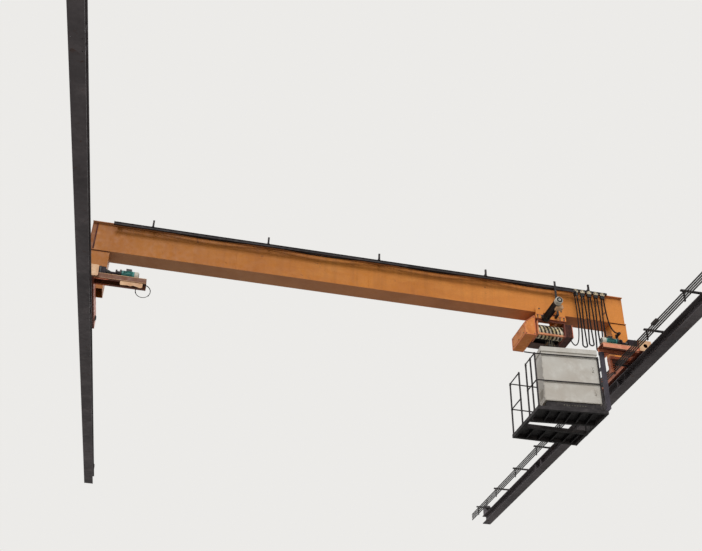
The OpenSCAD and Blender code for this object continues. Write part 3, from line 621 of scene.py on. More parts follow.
def light_scene():
    """Soft light from above and from the camera's side, a pale background and a pale floor."""
    world = bpy.data.worlds.new("studio")
    bpy.context.scene.world = world
    world.use_nodes = True
    nodes = world.node_tree.nodes
    links = world.node_tree.links
    light = nodes["Background"]
    path = nodes.new("ShaderNodeLightPath")
    seen = nodes.new("ShaderNodeMath")
    seen.operation = "MAXIMUM"
    links.new(path.outputs["Is Camera Ray"], seen.inputs[0])
    seen_too = nodes.new("ShaderNodeMath")
    seen_too.operation = "MAXIMUM"
    links.new(path.outputs["Is Glossy Ray"], seen_too.inputs[0])
    links.new(path.outputs["Is Transmission Ray"], seen_too.inputs[1])
    links.new(seen_too.outputs["Value"], seen.inputs[1])
    place = nodes.new("ShaderNodeTexCoord")
    split = nodes.new("ShaderNodeSeparateXYZ")
    links.new(place.outputs["Generated"], split.inputs["Vector"])
    height = nodes.new("ShaderNodeMapRange")
    height.inputs["From Min"].default_value = -0.35
    height.inputs["From Max"].default_value = 0.35
    links.new(split.outputs["Z"], height.inputs["Value"])
    sky = nodes.new("ShaderNodeMix")
    sky.data_type = "RGBA"
    links.new(height.outputs["Result"], sky.inputs[0])
    sky.inputs[6].default_value = (0.26, 0.255, 0.25, 1.0)
    sky.inputs[7].default_value = (0.86, 0.87, 0.90, 1.0)
    backdrop = nodes.new("ShaderNodeMix")
    backdrop.data_type = "RGBA"
    links.new(seen.outputs["Value"], backdrop.inputs[0])
    links.new(sky.outputs[2], backdrop.inputs[6])
    backdrop.inputs[7].default_value = (0.84, 0.83, 0.81, 1.0)
    links.new(backdrop.outputs[2], light.inputs["Color"])
    light.inputs["Strength"].default_value = 1.0

    def sun(name, direction, strength, angle):
        data = bpy.data.lights.new(name, "SUN")
        data.energy = strength
        data.angle = math.radians(angle)
        lamp = bpy.data.objects.new(name, data)
        bpy.context.scene.collection.objects.link(lamp)
        lamp.rotation_euler = Vector(direction).to_track_quat("-Z", "Y").to_euler()

    sun("key_light", (0.30, 1.0, -0.62), 1.35, 24.0)
    sun("back_light", (-0.5, -0.8, -0.7), 0.5, 40.0)

    floor = Shape()
    floor.block((-195, -200, -10.05), (205, 200, -9.95), 0.01)
    r = Recipe("floor")
    grain = r.noise(2.0, 5.0, 0.6)
    tone = r.mix(grain, colour(226, 224, 220), colour(218, 215, 210))
    light_path = r.nodes.new("ShaderNodeLightPath")
    tone = r.mix(light_path.outputs["Is Camera Ray"], colour(150, 147, 142), tone)
    material = r.finish(tone, 0.85)
    back = r.nodes.new("ShaderNodeNewGeometry").outputs["Position"]
    below = r.range(r.axis(back, "Z"), -10.02, -10.0, 1.0, 0.0)
    clear = r.nodes.new("ShaderNodeBsdfTransparent")
    both = r.nodes.new("ShaderNodeMixShader")
    r.links.new(below, both.inputs["Fac"])
    r.links.new(r.shader.outputs["BSDF"], both.inputs[1])
    r.links.new(clear.outputs["BSDF"], both.inputs[2])
    out = r.nodes["Material Output"]
    r.links.new(both.outputs["Shader"], out.inputs["Surface"])
    made = floor.piece("floor", None, None, material)


light_scene()
bpy.context.scene.view_settings.view_transform = "Standard"


# Repeated parts: one tree places a part on points, another winds a wire.


def new_tree(name, inputs):
    """A node tree with its inputs and one output for geometry, and the node that gives the inputs."""
    tree = bpy.data.node_groups.new(name, "GeometryNodeTree")
    for socket, kind in inputs:
        tree.interface.new_socket(socket, in_out="INPUT", socket_type="NodeSocket" + kind)
    tree.interface.new_socket("Made", in_out="OUTPUT", socket_type="NodeSocketGeometry")
    return tree, tree.nodes.new("NodeGroupInput")


def end_tree(tree, given, shape):
    """The last nodes of a tree: real geometry with its material."""
    link = tree.links.new
    real = tree.nodes.new("GeometryNodeRealizeInstances")
    link(shape, real.inputs["Geometry"])
    finish = tree.nodes.new("GeometryNodeSetMaterial")
    link(real.outputs["Geometry"], finish.inputs["Geometry"])
    link(given.outputs["Finish"], finish.inputs["Material"])
    link(finish.outputs["Geometry"], tree.nodes.new("NodeGroupOutput").inputs["Made"])
    return tree


def placing_tree():
    """Places a part on each point, with its Z along the point's facing and its X along its length."""
    tree, given = new_tree("place_part_on_points", (
        ("Points", "Geometry"), ("Part", "Object"), ("Part Scale", "Float"), ("Finish", "Material")))
    new = tree.nodes.new
    link = tree.links.new
    info = new("GeometryNodeObjectInfo")
    link(given.outputs["Part"], info.inputs["Object"])
    turns = []
    for attribute, axis in (("facing", "Z"), ("along", "X")):
        named = new("GeometryNodeInputNamedAttribute")
        named.data_type = "FLOAT_VECTOR"
        named.inputs["Name"].default_value = attribute
        align = new("FunctionNodeAlignRotationToVector")
        align.axis = axis
        if turns:
            align.pivot_axis = "Z"
            link(turns[-1].outputs["Rotation"], align.inputs["Rotation"])
        link(named.outputs["Attribute"], align.inputs["Vector"])
        turns.append(align)
    place = new("GeometryNodeInstanceOnPoints")
    link(given.outputs["Points"], place.inputs["Points"])
    link(info.outputs["Geometry"], place.inputs["Instance"])
    link(turns[-1].outputs["Rotation"], place.inputs["Rotation"])
    link(given.outputs["Part Scale"], place.inputs["Scale"])
    return end_tree(tree, given, place.outputs["Instances"])


def winding_tree():
    """Winds a wire along X from the origin."""
    tree, given = new_tree("wind_wire", (
        ("Base", "Geometry"), ("Turns", "Float"), ("Radius", "Float"), ("Width", "Float"),
        ("Wire Radius", "Float"), ("Start", "Vector"), ("Finish", "Material")))
    new = tree.nodes.new
    link = tree.links.new
    spiral = new("GeometryNodeCurveSpiral")
    spiral.inputs["Resolution"].default_value = 40
    for name, socket in (
            ("Turns", "Rotations"), ("Radius", "Start Radius"), ("Radius", "End Radius"),
            ("Width", "Height")):
        link(given.outputs[name], spiral.inputs[socket])
    lay = new("GeometryNodeTransform")
    lay.inputs["Rotation"].default_value = (0.0, math.pi / 2, 0.0)
    link(spiral.outputs["Curve"], lay.inputs["Geometry"])
    link(given.outputs["Start"], lay.inputs["Translation"])
    ring = new("GeometryNodeCurvePrimitiveCircle")
    ring.inputs["Resolution"].default_value = 8
    link(given.outputs["Wire Radius"], ring.inputs["Radius"])
    sweep = new("GeometryNodeCurveToMesh")
    sweep.inputs["Fill Caps"].default_value = True
    link(lay.outputs["Geometry"], sweep.inputs["Curve"])
    link(ring.outputs["Curve"], sweep.inputs["Profile Curve"])
    return end_tree(tree, given, sweep.outputs["Mesh"])


PLACING = placing_tree()
WINDING = winding_tree()


def grown(mesh, tree, values, body):
    """What a tree makes of a mesh, as a plain piece of the mesh's name."""
    name = mesh.name
    holder = bpy.data.objects.new(name + "_points", mesh)
    bpy.context.scene.collection.objects.link(holder)
    modifier = holder.modifiers.new("grow", "NODES")
    modifier.node_group = tree
    for item in tree.interface.items_tree:
        if item.in_out == "INPUT" and item.name in values:
            modifier[item.identifier] = values[item.name]
    bpy.context.view_layer.update()
    evaluated = holder.evaluated_get(bpy.context.evaluated_depsgraph_get())
    plain = bpy.data.meshes.new_from_object(evaluated)
    for attribute in ("facing", "along"):
        if attribute in plain.attributes:
            plain.attributes.remove(plain.attributes[attribute])
    plain.materials.clear()
    plain.materials.append(values["Finish"])
    holder.modifiers.clear()
    bpy.data.objects.remove(holder)
    made = bpy.data.objects.new(name, plain)
    bpy.context.scene.collection.objects.link(made)
    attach(made, body)
    return made


def placed(name, body, finish, part, places, scale=1.0):
    """One piece of many copies of a part; a place is a point, a facing and, if it matters, a length."""
    mesh = bpy.data.meshes.new(name)
    mesh.from_pydata([p[0] for p in places], [], [])
    facing = mesh.attributes.new("facing", "FLOAT_VECTOR", "POINT")
    along = mesh.attributes.new("along", "FLOAT_VECTOR", "POINT")
    for i, p in enumerate(places):
        facing.data[i].vector = p[1]
        along.data[i].vector = p[2] if len(p) > 2 else frame_of(p[1])[1]
    template = part.piece(name + "_part", None, None, finish)
    made = grown(mesh, PLACING, {"Part": template, "Part Scale": scale, "Finish": finish}, body)
    bpy.data.objects.remove(template)
    return made


def wound(name, body, finish, start, turns, radius, width, wire):
    """A wire wound along X."""
    made = grown(bpy.data.meshes.new(name), WINDING, {
        "Turns": turns, "Radius": radius, "Width": width, "Wire Radius": wire,
        "Start": start, "Finish": finish}, body)
    for face in made.data.polygons:
        face.use_smooth = True
    return made


def bolted(name, body, places, scale=1.0, finish=None):
    """Bolt heads at places, each a point and a facing."""
    return placed(name, body, finish or BOLT_STEEL, bolt_part(), places, scale)


def bolt_part():
    """A hexagon bolt head on its washer, 24 mm across, facing up."""
    part = Shape()
    part.lathe((0, 0, 0), (0, 0, 1), [(0, 0.0185), (0.0026, 0.0185), (0.003, 0.0172)], 12)
    part.lathe((0, 0, 0.003), (0, 0, 1), [(0, 0.0138), (0.009, 0.0138), (0.011, 0.0115)], 6)
    part.lathe((0, 0, 0.014), (0, 0, 1), [(0, 0.0078), (0.006, 0.0078), (0.008, 0.006)], 8)
    return part


def grid(*axes):
    """All combinations of values as points."""
    points = [()]
    for values in axes:
        points = [p + (v,) for p in points for v in values]
    return points


LEFT, RIGHT = (-1, 0, 0), (1, 0, 0)
NEAR, FAR = (0, -1, 0), (0, 1, 0)
UP, DOWN = (0, 0, 1), (0, 0, -1)

# Runway.

RAILS_X = (0.0, SPAN)
SEATS_Y = (-6.33, 0.0, 4.22)
SPLICES_Y = (-2.2, 2.6)
BEAM_TOP = 0.2
ARMS_Y = [-6.88 + 1.3 * k for k in range(12)]
rail_clip = Shape()
rail_clip.prism([(-0.03, 0.0), (0.03, 0.0), (0.03, 0.012), (0.0, 0.016), (-0.03, 0.016)], "Y", -0.03, 0.03)
rail_clip.lathe((0.004, 0, 0.016), UP, [(0, 0.017), (0.003, 0.017)], 12)
rail_clip.lathe((0.004, 0, 0.019), UP, [(0, 0.013), (0.010, 0.013), (0.012, 0.011)], 6)
rail_clip.lathe((0.004, 0, 0.031), UP, [(0, 0.008), (0.009, 0.008), (0.010, 0.007)], 8)
clip_places = []
for beam_x in RAILS_X:
    for i in range(23):
        y = -6.85 + 0.65 * i
        clip_places.append(((beam_x - 0.0565, y, BEAM_TOP), UP, LEFT))
        clip_places.append(((beam_x + 0.0565, y, BEAM_TOP), UP, RIGHT))
placed("rail_clips", "runway", BOLT_STEEL, rail_clip, clip_places)

beam_parts = Shape()
for beam_x in RAILS_X:
    for y in SEATS_Y:
        for side in (-1, 1):
            inner, outer = beam_x + side * 0.005, beam_x + side * 0.094
            for dy in (-0.16, 0.16):
                beam_parts.block(
                    (min(inner, outer), y + dy - 0.005, 0.015), (max(inner, outer), y + dy + 0.005, 0.185))
    for y in SPLICES_Y:
        for side in (-1, 1):
            near = beam_x + side * 0.005
            far = beam_x + side * 0.013
            beam_parts.block((min(near, far), y - 0.16, 0.035), (max(near, far), y + 0.16, 0.165), 0.002)
beam_parts.piece("beam_stiffeners", "runway", "beam_paint")

beam_bolts = []
for beam_x, y in grid(RAILS_X, SPLICES_Y):
    for side, facing in ((-1, LEFT), (1, RIGHT)):
        for dy, z in grid((-0.12, -0.04, 0.04, 0.12), (0.065, 0.135)):
            beam_bolts.append(((beam_x + side * 0.013, y + dy, z), facing))
for beam_x, dx in grid(RAILS_X, (-0.065, 0.065)):
    for y in (-7.22, 7.92):
        beam_bolts.append(((beam_x + dx * 0.7, y, BEAM_TOP), UP))
bolted("beam_bolts", "runway", beam_bolts, 0.9)

stop_parts = Shape()
for x in RAILS_X:
    for inner, outward in ((-7.15, 1), (7.85, -1)):
        stop_parts.lathe(
            (x, inner, 0.37), (0, outward, 0),
            [(0, 0.045), (0.008, 0.045), (0.010, 0.034), (0.05, 0.038), (0.07, 0.034), (0.078, 0.022)], 24)
        for side in (-0.058, 0.058):
            back = inner - outward * 0.148
            stop_parts.prism(
                [(inner, 0.2), (inner, 0.205), (back, 0.205), (back, 0.2)], "X",
                x + side * 1.55 - 0.006, x + side * 1.55 + 0.006)
stop_parts.piece("stop_buffers", "runway", "bar_plastic", BLACK_PARTS)

bar_clip = Shape()
bar_clip.blocks(0.002, (
    (-0.012, -0.010, -0.0155, 0.006, 0.010, 0.0155),
    (-0.002, -0.014, -0.006, 0.012, 0.014, 0.006),
))
clip_places = []
bar_heights = (0.175, 0.129, 0.083, 0.037)
for y, z in grid(ARMS_Y, bar_heights):
    clip_places.append(((9.5965, y - 0.004, z), UP, RIGHT))
placed("bar_clips", "runway", BLACK_PARTS, bar_clip, clip_places)

bar_joint = Shape()
bar_joint.block((-0.0035, -0.055, -0.0135), (0.0022, 0.055, 0.0135), 0.002)
bar_joint.lathe((0.0022, -0.035, 0), RIGHT, [(0, 0.005), (0.002, 0.005)], 6)
bar_joint.lathe((0.0022, 0.035, 0), RIGHT, [(0, 0.005), (0.002, 0.005)], 6)
placed("bar_joints", "runway", PAINTS["bar_plastic"], bar_joint,
       [((9.597, y, z), UP, RIGHT) for y, z in grid((-4.9, 2.9, 6.8), bar_heights)])

arm_bolts = []
for y in ARMS_Y:
    arm_bolts.append(((9.915, y, 0.226), UP))
    arm_bolts.append(((9.62, y, 0.226), UP))
bolted("arm_bolts", "runway", arm_bolts, 0.75)

# Girder, pedestals and end trucks.

seams = Shape()
for y, side in ((-0.13, -1), (0.13, 1)):
    for z, up in ((1.266, 1), (1.862, -1)):
        seams.prism(
            [(y, z), (y + side * 0.009, z), (y, z + up * 0.009)], "X", -0.15, 10.08)
for x in (2.47, 4.96, 7.44):
    seams.tube([(x, -0.1305, 1.27), (x, -0.1305, 1.86)], 0.0028, 6)
    seams.tube([(x + 0.05, 0.1305, 1.27), (x + 0.05, 0.1305, 1.86)], 0.0028, 6)
for x in (-0.15, 10.08):
    seams.tube([(x, -0.1305, 1.27), (x, -0.1305, 1.86)], 0.004, 6)
seams.piece("girder_seams", "bridge", "girder_paint")

edge_strips = Shape()
edge_strips.blocks(0.002, (
    (-0.086, -0.1385, 1.275, -0.060, -0.1305, 1.853),
    (-0.085, -0.168, 1.2415, 0.226, -0.1605, 1.2535),
    (9.774, -0.168, 1.2415, 10.085, -0.1605, 1.2535),
))
dark_red = weathered(
    "dark_red_paint", (86, 32, 18), (56, 20, 14), (112, 50, 28), patch=5.0, rust=0.3, dust=0.2,
    shine=0.2)
edge_strips.piece("girder_edge_strips", "bridge", "girder_paint", dark_red)

foot_parts = Shape()
for x0 in (-0.112, 9.888):
    foot_parts.blocks(0.002, (
        (x0, -0.222, 0.4805, x0 + 0.224, -0.162, 0.494),
        (x0, 0.162, 0.4805, x0 + 0.224, 0.222, 0.494),
    ))
    for x in (x0 + 0.05, x0 + 0.174):
        for side in (-1, 1):
            outline = [(side * 0.1605, 0.494), (side * 0.218, 0.494), (side * 0.1605, 0.60)]
            foot_parts.prism(outline, "X", x - 0.005, x + 0.005)
foot_parts.piece("pedestal_feet", "bridge", "girder_paint")

frame_bolts = []
for x0 in (-0.112, 9.888):
    for dx, y in grid((0.02, 0.112, 0.204), (-0.203, 0.203)):
        frame_bolts.append(((x0 + dx, y, 0.494), UP))
bolted("pedestal_bolts", "bridge", frame_bolts, 0.8)

end_bolts = []
for x, facing in ((0.0, NEAR), (10.0, NEAR), (0.0, FAR), (10.0, FAR)):
    for dx, z in grid((-0.095, 0.095), (0.285, 0.455)):
        end_bolts.append(((x + dx, facing[1] * 0.888, z), facing))
bolted("truck_plate_bolts", "bridge", end_bolts, 0.5, ORANGE_BOLTS)

WHEEL_Y, WHEEL_Z = 0.65, 0.3403
hubs = Shape()
for x, facing in ((0.12, 1), (9.88, -1)):
    hubs.lathe(
        (x, WHEEL_Y, WHEEL_Z), (facing, 0, 0),
        [(0, 0.058), (0.008, 0.058), (0.010, 0.040), (0.026, 0.036), (0.028, 0.020)], 28)
    for a, b in around(6, 0.048):
        hubs.lathe(
            (x + facing * 0.008, WHEEL_Y + a, WHEEL_Z + b), (facing, 0, 0),
            [(0, 0.006), (0.006, 0.006)], 6)
hubs.piece("axle_bearings", "bridge", "wheel_steel", BLACK_PARTS)


# Drives on their shelves.

TEAL = PAINTS["motor_paint"]
DRIVE_Y, DRIVE_Z = -0.745, 0.446  # the drive motors' axis
SHELF_UNDER = 0.2595
# Cream paint, also used as a painted highlight on the end trucks' lit near plates.
CREAM_PAINT_AND_HIGHLIGHT = weathered(
    "cream_paint", (226, 186, 142), (190, 140, 100), (236, 206, 172), patch=6.0, rust=0.25, dust=0.2)
SALMON_PAINT = weathered(
    "salmon_paint", (226, 132, 94), (186, 92, 62), (236, 160, 126), patch=5.0, rust=0.3, dust=0.25)


def finned_motor(name, body, slot, start, axis, length, radius, body_paint, cowl_paint, flange=None,
                 cowl_length=0.09, replaces=None, fins=20):
    """A closed motor: end bells, core and ribs, and a slotted fan cowl at the far end."""
    start, axis = Vector(start), Vector(axis)
    shape = Shape()
    at = 0.0
    if flange:
        thick, wide = flange
        shape.lathe(start, axis, [
            (0, wide - 0.002), (0.002, wide), (thick - 0.002, wide), (thick, wide - 0.002)], 32, 1)
        at = thick
    core = radius * 0.84
    full = radius * 0.97
    bell = 0.035
    cowl_at = length - cowl_length
    shape.lathe(start + axis * at, axis, [
        (0, core), (0.006, full), (bell - 0.004, full), (bell, core),
        (cowl_at - at - bell, core), (cowl_at - at - bell + 0.004, full), (cowl_at - at, full),
    ], 32)
    shape.lathe(start + axis * cowl_at, axis, [
        (0, radius * 0.99), (0.004, radius), (cowl_length - 0.014, radius * 0.98),
        (cowl_length - 0.006, radius * 0.90), (cowl_length - 0.004, radius * 0.80),
        (cowl_length - 0.004, radius * 0.30),
    ], 32, 2)
    first, second = frame_of(axis)[1:]
    for ring in (0.42, 0.56, 0.70):
        points = [
            start + axis * (length - 0.003) + first * a + second * b
            for a, b in around(28, radius * ring)
        ]
        shape.tube(points, radius * 0.035, 6, closed=True, paint=1)
    hub = [(0, radius * 0.20), (0.004, radius * 0.20), (0.005, radius * 0.14)]
    shape.lathe(start + axis * (length - 0.005), axis, hub, 20, 1)
    motor = shape.piece(name, body, slot, body_paint, BLACK_PARTS, cowl_paint)
    if replaces:
        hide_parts(replaces)
    rib = Shape()
    long = (cowl_at - at - 2 * bell) / 2 + 0.004
    tip = radius - core - 0.001
    rib.prism([(-0.0025, -0.006), (0.0025, -0.006), (0.0015, tip), (-0.0015, tip)], "X", -long, long)
    middle = start + axis * (at + bell + long - 0.004)
    places = []
    for a, b in around(fins, 1.0, math.pi / fins):
        out = first * a + second * b
        places.append((middle + out * core, out, axis))
    placed(name + "_ribs", body, body_paint, rib, places)
    return motor


drive_extras = Shape()
drive_black = Shape()
for x_start, axis_x, side in ((0.52, 1, "left"), (9.53, -1, "right")):
    finned_motor(
        f"drive_motor_{side}", "bridge", "motor_paint", (x_start, DRIVE_Y, DRIVE_Z), (axis_x, 0, 0),
        0.32, 0.075, TEAL, PALE_COWL, flange=(0.028, 0.085), cowl_length=0.075,
        replaces="drive_motors")
    foot = sorted((x_start + axis_x * 0.062, x_start + axis_x * 0.236))
    drive_extras.block((foot[0], -0.803, 0.3565), (foot[1], -0.687, 0.366), 0.002)
    for y in (-0.79, -0.70):
        drive_extras.block((foot[0] + 0.01, y - 0.008, 0.366), (foot[1] - 0.01, y + 0.008, 0.386), 0.002)
    box_x = sorted((x_start + axis_x * 0.10, x_start + axis_x * 0.19))
    drive_black.block((box_x[0], -0.785, 0.505), (box_x[1], -0.705, 0.545), 0.004)
    drive_black.block((box_x[0] - 0.003, -0.788, 0.545), (box_x[1] + 0.003, -0.702, 0.551), 0.002)
    disc_x = x_start - axis_x * 0.058
    for a, b in around(6, 0.05, 0.3):
        drive_black.rod(
            (disc_x + axis_x * 0.012, DRIVE_Y + a, DRIVE_Z + b),
            (disc_x + axis_x * 0.060, DRIVE_Y + a, DRIVE_Z + b), 0.006, 8)
    gear = sorted((x_start - axis_x * 0.40, x_start - axis_x * 0.23))
    drive_black.block((gear[0] - 0.0005 + 0.075, -0.838, 0.362), (gear[0] + 0.0955, -0.652, 0.512), 0.003)
    gear_face = x_start - axis_x * 0.23
    drive_black.lathe(
        (gear_face, DRIVE_Y, DRIVE_Z), (axis_x, 0, 0),
        [(0, 0.062), (0.02, 0.058), (0.075, 0.036), (0.080, 0.0305)], 24)
drive_extras.piece("motor_feet", "bridge", "motor_paint", TEAL)
drive_black.piece("drive_couplings", "bridge", "gearbox_paint", BLACK_PARTS)

shelf_parts = Shape()
for x0, x1 in ((0.12, 0.98), (9.18, 9.88)):
    shelf_parts.blocks(0.001, (
        (x0 + 0.002, -0.8635, 0.3475, x1 - 0.002, -0.8605, 0.3555),
        (x0 + 0.002, -0.8635, 0.262, x1 - 0.002, -0.8605, 0.268),
    ))
shelf_parts.piece("shelf_edges", "bridge", "truck_paint", CREAM_PAINT_AND_HIGHLIGHT)

under_left = Shape()
under_left.prism([
    (0.56, SHELF_UNDER), (0.93, SHELF_UNDER), (0.93, 0.180), (0.90, 0.166), (0.84, 0.178), (0.78, 0.196),
    (0.74, 0.176), (0.68, 0.186), (0.57, 0.178), (0.56, 0.20),
], "Y", -0.852, -0.846)
under_left.block((0.56, -0.846, 0.2515), (0.93, -0.80, SHELF_UNDER), 0.002)
under_left.piece("left_shelf_tray", "bridge", "truck_paint", CREAM_PAINT_AND_HIGHLIGHT)
# Painted highlight: the near plate of the left end truck is painted cream, a lighter copy of the truck
# paint, for its lit face.
left_plate = Shape()
left_plate.prism([
    (-0.118, 0.262), (0.172, 0.262), (0.190, 0.280), (0.180, 0.470), (0.168, 0.478), (-0.118, 0.478),
], "Y", -0.9065, -0.9005)
left_plate.piece("left_truck_plate", "bridge", "truck_paint", CREAM_PAINT_AND_HIGHLIGHT)

gussets = Shape()
for y in (-0.842, -0.664):
    for wall, tip, foot_x in ((9.8795, 9.62, 9.66), (0.1205, 0.38, 0.34)):
        outline = [(wall, SHELF_UNDER), (tip, SHELF_UNDER), (foot_x, 0.245), (wall, 0.245)]
        gussets.prism(outline, "Y", y - 0.004, y + 0.004)
outline = [(9.30, SHELF_UNDER), (9.40, SHELF_UNDER), (9.272, 0.13), (9.272, SHELF_UNDER)]
gussets.prism(outline, "Y", -0.66, -0.652)
gussets.piece("shelf_gussets", "bridge", "truck_paint", SALMON_PAINT)

shelf_bolts = [((x, -0.845, 0.356), UP) for x in (0.16, 0.94, 9.22, 9.84)]
shelf_bolts += [((x, y, 0.356), UP) for x, y in grid((0.60, 0.74, 9.31, 9.45), (-0.812, -0.678))]
bolted("shelf_bolts", "bridge", shelf_bolts, 0.6)

# Current collector.

collector = Shape()
for z in bar_heights:
    for y in (-0.425, -0.375):
        collector.rod((9.5375, y, z), (9.5555, y, z), 0.006, 8)
    collector.block((9.5385, -0.445, z - 0.004), (9.5435, -0.355, z + 0.004), 0.001)
collector.block((9.515, -0.352, 0.03), (9.525, -0.344, 0.24), 0.002)
collector.piece("collector_springs", "bridge", "truck_paint", BLACK_PARTS)
collector_plate = Shape()
collector_plate.blocks(0.002, (
    (9.70, -0.4765, 0.274, 9.845, -0.4705, 0.322),
    (9.55, -0.46, 0.3265, 9.86, -0.34, 0.3325),
))
collector_plate.piece("collector_plate", "bridge", "truck_paint", CREAM_PAINT_AND_HIGHLIGHT)

# Festoon rail, brackets and the cable that runs along the rail.

BRACKET_X = [0.905 + 2.108 * i for i in range(5)]
RUN_Y, RUN_Z = -0.206, 1.858  # the thick cable that runs along the rail
run_points = []
stations = [0.335] + BRACKET_X + [9.66]
for i in range(len(stations) - 1):
    x0, x1 = stations[i], stations[i + 1]
    sag = 0.055 if x1 - x0 > 1.5 else 0.006
    for k in range(12):
        t = k / 12
        flat = math.sin(math.pi * t) ** 1.2
        run_points.append((x0 + (x1 - x0) * t, RUN_Y, RUN_Z - sag * flat * (1.0 - 0.15 * (i % 2))))
run_points.append((9.66, RUN_Y, RUN_Z))
run_line = smoothed(run_points, 2)
shape = Shape()
shape.tube(run_line, 0.0125, 10)
rail_cable = shape.piece("rail_cable", "bridge", "cable_rubber", PAINTS["cable_rubber"], angle=60.0)

boxes = Shape()
for x0, x1 in ((0.255, 0.335), (9.66, 9.74)):
    boxes.block((x0, -0.245, 1.838), (x1, -0.181, 1.880), 0.003)
    boxes.block((x0 + 0.006, -0.249, 1.843), (x1 - 0.006, -0.245, 1.875), 0.001)
boxes.piece("rail_cable_boxes", "bridge", "dark_steel", BLACK_PARTS)

clip = Shape()
for dx in (-0.006, 0.0, 0.006):
    clip.tube([(dx, a, b) for a, b in around(16, 0.0150)], 0.0024, 6, closed=True)
placed("rail_cable_clips", "bridge", BLACK_PARTS, clip,
       [((x, RUN_Y, RUN_Z), UP, RIGHT) for x in BRACKET_X])

bracket_parts = Shape()
for x in BRACKET_X:
    bracket_parts.prism(
        [(-0.263, 1.8735), (-0.175, 1.8735), (-0.263, 1.845)], "X", x - 0.004, x + 0.004)
    bracket_parts.block((x - 0.022, -0.302, 1.8405), (x + 0.022, -0.258, 1.8465), 0.001)
bracket_parts.blocks(0.002, (
    (0.216, -0.300, 1.776, 0.2245, -0.260, 1.846),
    (9.6605, -0.300, 1.776, 9.669, -0.260, 1.846),
))
bracket_parts.piece("bracket_gussets", "bridge", "dark_steel")
bolted("bracket_bolts", "bridge",
       [((x, y, 1.898), UP) for x, y in grid(BRACKET_X, (-0.10, -0.15))]
       + [((x, -0.296, 1.93), NEAR) for x in BRACKET_X], 0.5)

gland = Shape()
gland.lathe((9.8395, -0.28, 0.965), LEFT, [(-0.002, 0.0195), (0.010, 0.0195), (0.012, 0.0165)], 6)
gland.block((9.832, -0.1665, 0.925), (9.888, -0.1605, 1.005), 0.002)
gland.piece("end_cable_gland", "bridge", "dark_steel", BLACK_PARTS)

# Cable carriers.

for k in range(1, 6):
    x = CARRIER_X + (k - 1) * CARRIER_PITCH
    shape = Shape()
    for side in (-1, 1):
        inner, outer = FESTOON_Y + side * 0.019, FESTOON_Y + side * 0.0249
        low, high = min(inner, outer), max(inner, outer)
        outline = [(x + 0.0455 * a, 1.782 + 0.042 * b) for a, b in around(40, 1.0)[:21]]
        outline += [(x - 0.040, 1.7585), (x + 0.040, 1.7585)]
        shape.prism(outline, "Y", low, high)
        for dx in (-0.023, 0.023):
            shape.lathe(
                (x + dx, FESTOON_Y + side * 0.0190, 1.7983), (0, -side, 0),
                [(0, 0.0118), (0.009, 0.0118), (0.010, 0.010)], 18, 1)
    shape.block((x - 0.045, FESTOON_Y - 0.0249, 1.7581), (x + 0.045, FESTOON_Y + 0.0249, 1.7638), 0.001)
    for low, high in ((1.731, 1.7579), (1.6985, 1.7290)):
        shape.block(
            (x - 0.0415, FESTOON_Y - 0.0215, low), (x + 0.0415, FESTOON_Y + 0.0215, high), 0.003, 1)
    for dx in (-0.013, 0.013):
        shape.rod((x + dx, FESTOON_Y, 1.7291), (x + dx, FESTOON_Y, 1.7309), 0.006, 8, paint=1)
    for side, facing in ((-1, NEAR), (1, FAR)):
        outer = FESTOON_Y + side * 0.0249
        for dx in (-0.023, 0.023):
            shape.lathe((x + dx, outer, 1.7983), facing, [(0, 0.009), (0.004, 0.009), (0.005, 0.007)], 6, 1)
        for dx in (-0.028, 0.0, 0.028):
            shape.lathe(
                (x + dx, FESTOON_Y + side * 0.0215, 1.744), facing, [(0, 0.006), (0.0025, 0.006)], 8, 1)
    made = shape.piece(
        f"carrier_{k}_trolley", f"carrier_{k}", "carrier_paint", PAINTS["carrier_paint"], BLACK_PARTS)
    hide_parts(f"cable_carrier_{k}")


# Platform, guard rails and cabinet.

SKEW = math.radians(-6.0)
FRONT = Matrix.Translation((7.598, -1.43, 0.0)) @ Matrix.Rotation(SKEW, 4, "Z")
TURN = FRONT.to_3x3()


def on_front(shape):
    """Moves a shape from the slewed front deck's own places to the crane's."""
    shape.verts = [FRONT @ v for v in shape.verts]
    return shape


deck_ribs = Shape()
DECK_LOW, DECK_UNDER, DECK_TOP = -1.445, -1.3905, -1.384
for x in (0.19, 0.37, 0.55, 0.73, 0.91):
    deck_ribs.block((x - 0.012, 0.052, DECK_LOW), (x + 0.012, 0.468, DECK_UNDER), 0.002)
on_front(deck_ribs)
for x in (7.80, 8.02, 8.24, 8.46, 8.62):
    deck_ribs.block((x - 0.012, -0.658, DECK_LOW), (x + 0.012, -0.267, DECK_UNDER), 0.002)
# Painted shade: the ribs under the decks are painted near black.
UNDER_DECK_SHADE = weathered(
    "sooty_steel", (16, 13, 16), (8, 7, 9), (30, 26, 30), patch=3.0, dust=0.3, shine=0.2)
deck_ribs.piece("deck_ribs", "bridge", "dark_steel", UNDER_DECK_SHADE)

tread = Shape()
tread.prism([(-0.014, 0.0), (0.014, 0.0), (0.008, 0.0022), (-0.008, 0.0022)], "X", -0.003, 0.003)
tread_places = []
for i, j in grid(range(22), range(12)):
    x, y = 0.045 + 0.047 * i, 0.028 + 0.040 * j
    way = (TURN @ Vector((1, 1 if (i + j) % 2 else -1, 0))).normalized()
    under_cabinet = 0.13 < x < 1.06 and 0.04 < y < 0.36
    if not under_cabinet:
        tread_places.append((FRONT @ Vector((x, y, DECK_TOP)), UP, way))
for i, j in grid(range(24), range(10)):
    way = Vector((1, 1 if (i + j) % 2 else -1, 0)).normalized()
    tread_places.append(((7.60 + 0.0475 * i, -0.69 + 0.048 * j, DECK_TOP), UP, way))
placed("deck_treads", "bridge", PAINTS["dark_steel"], tread, tread_places)

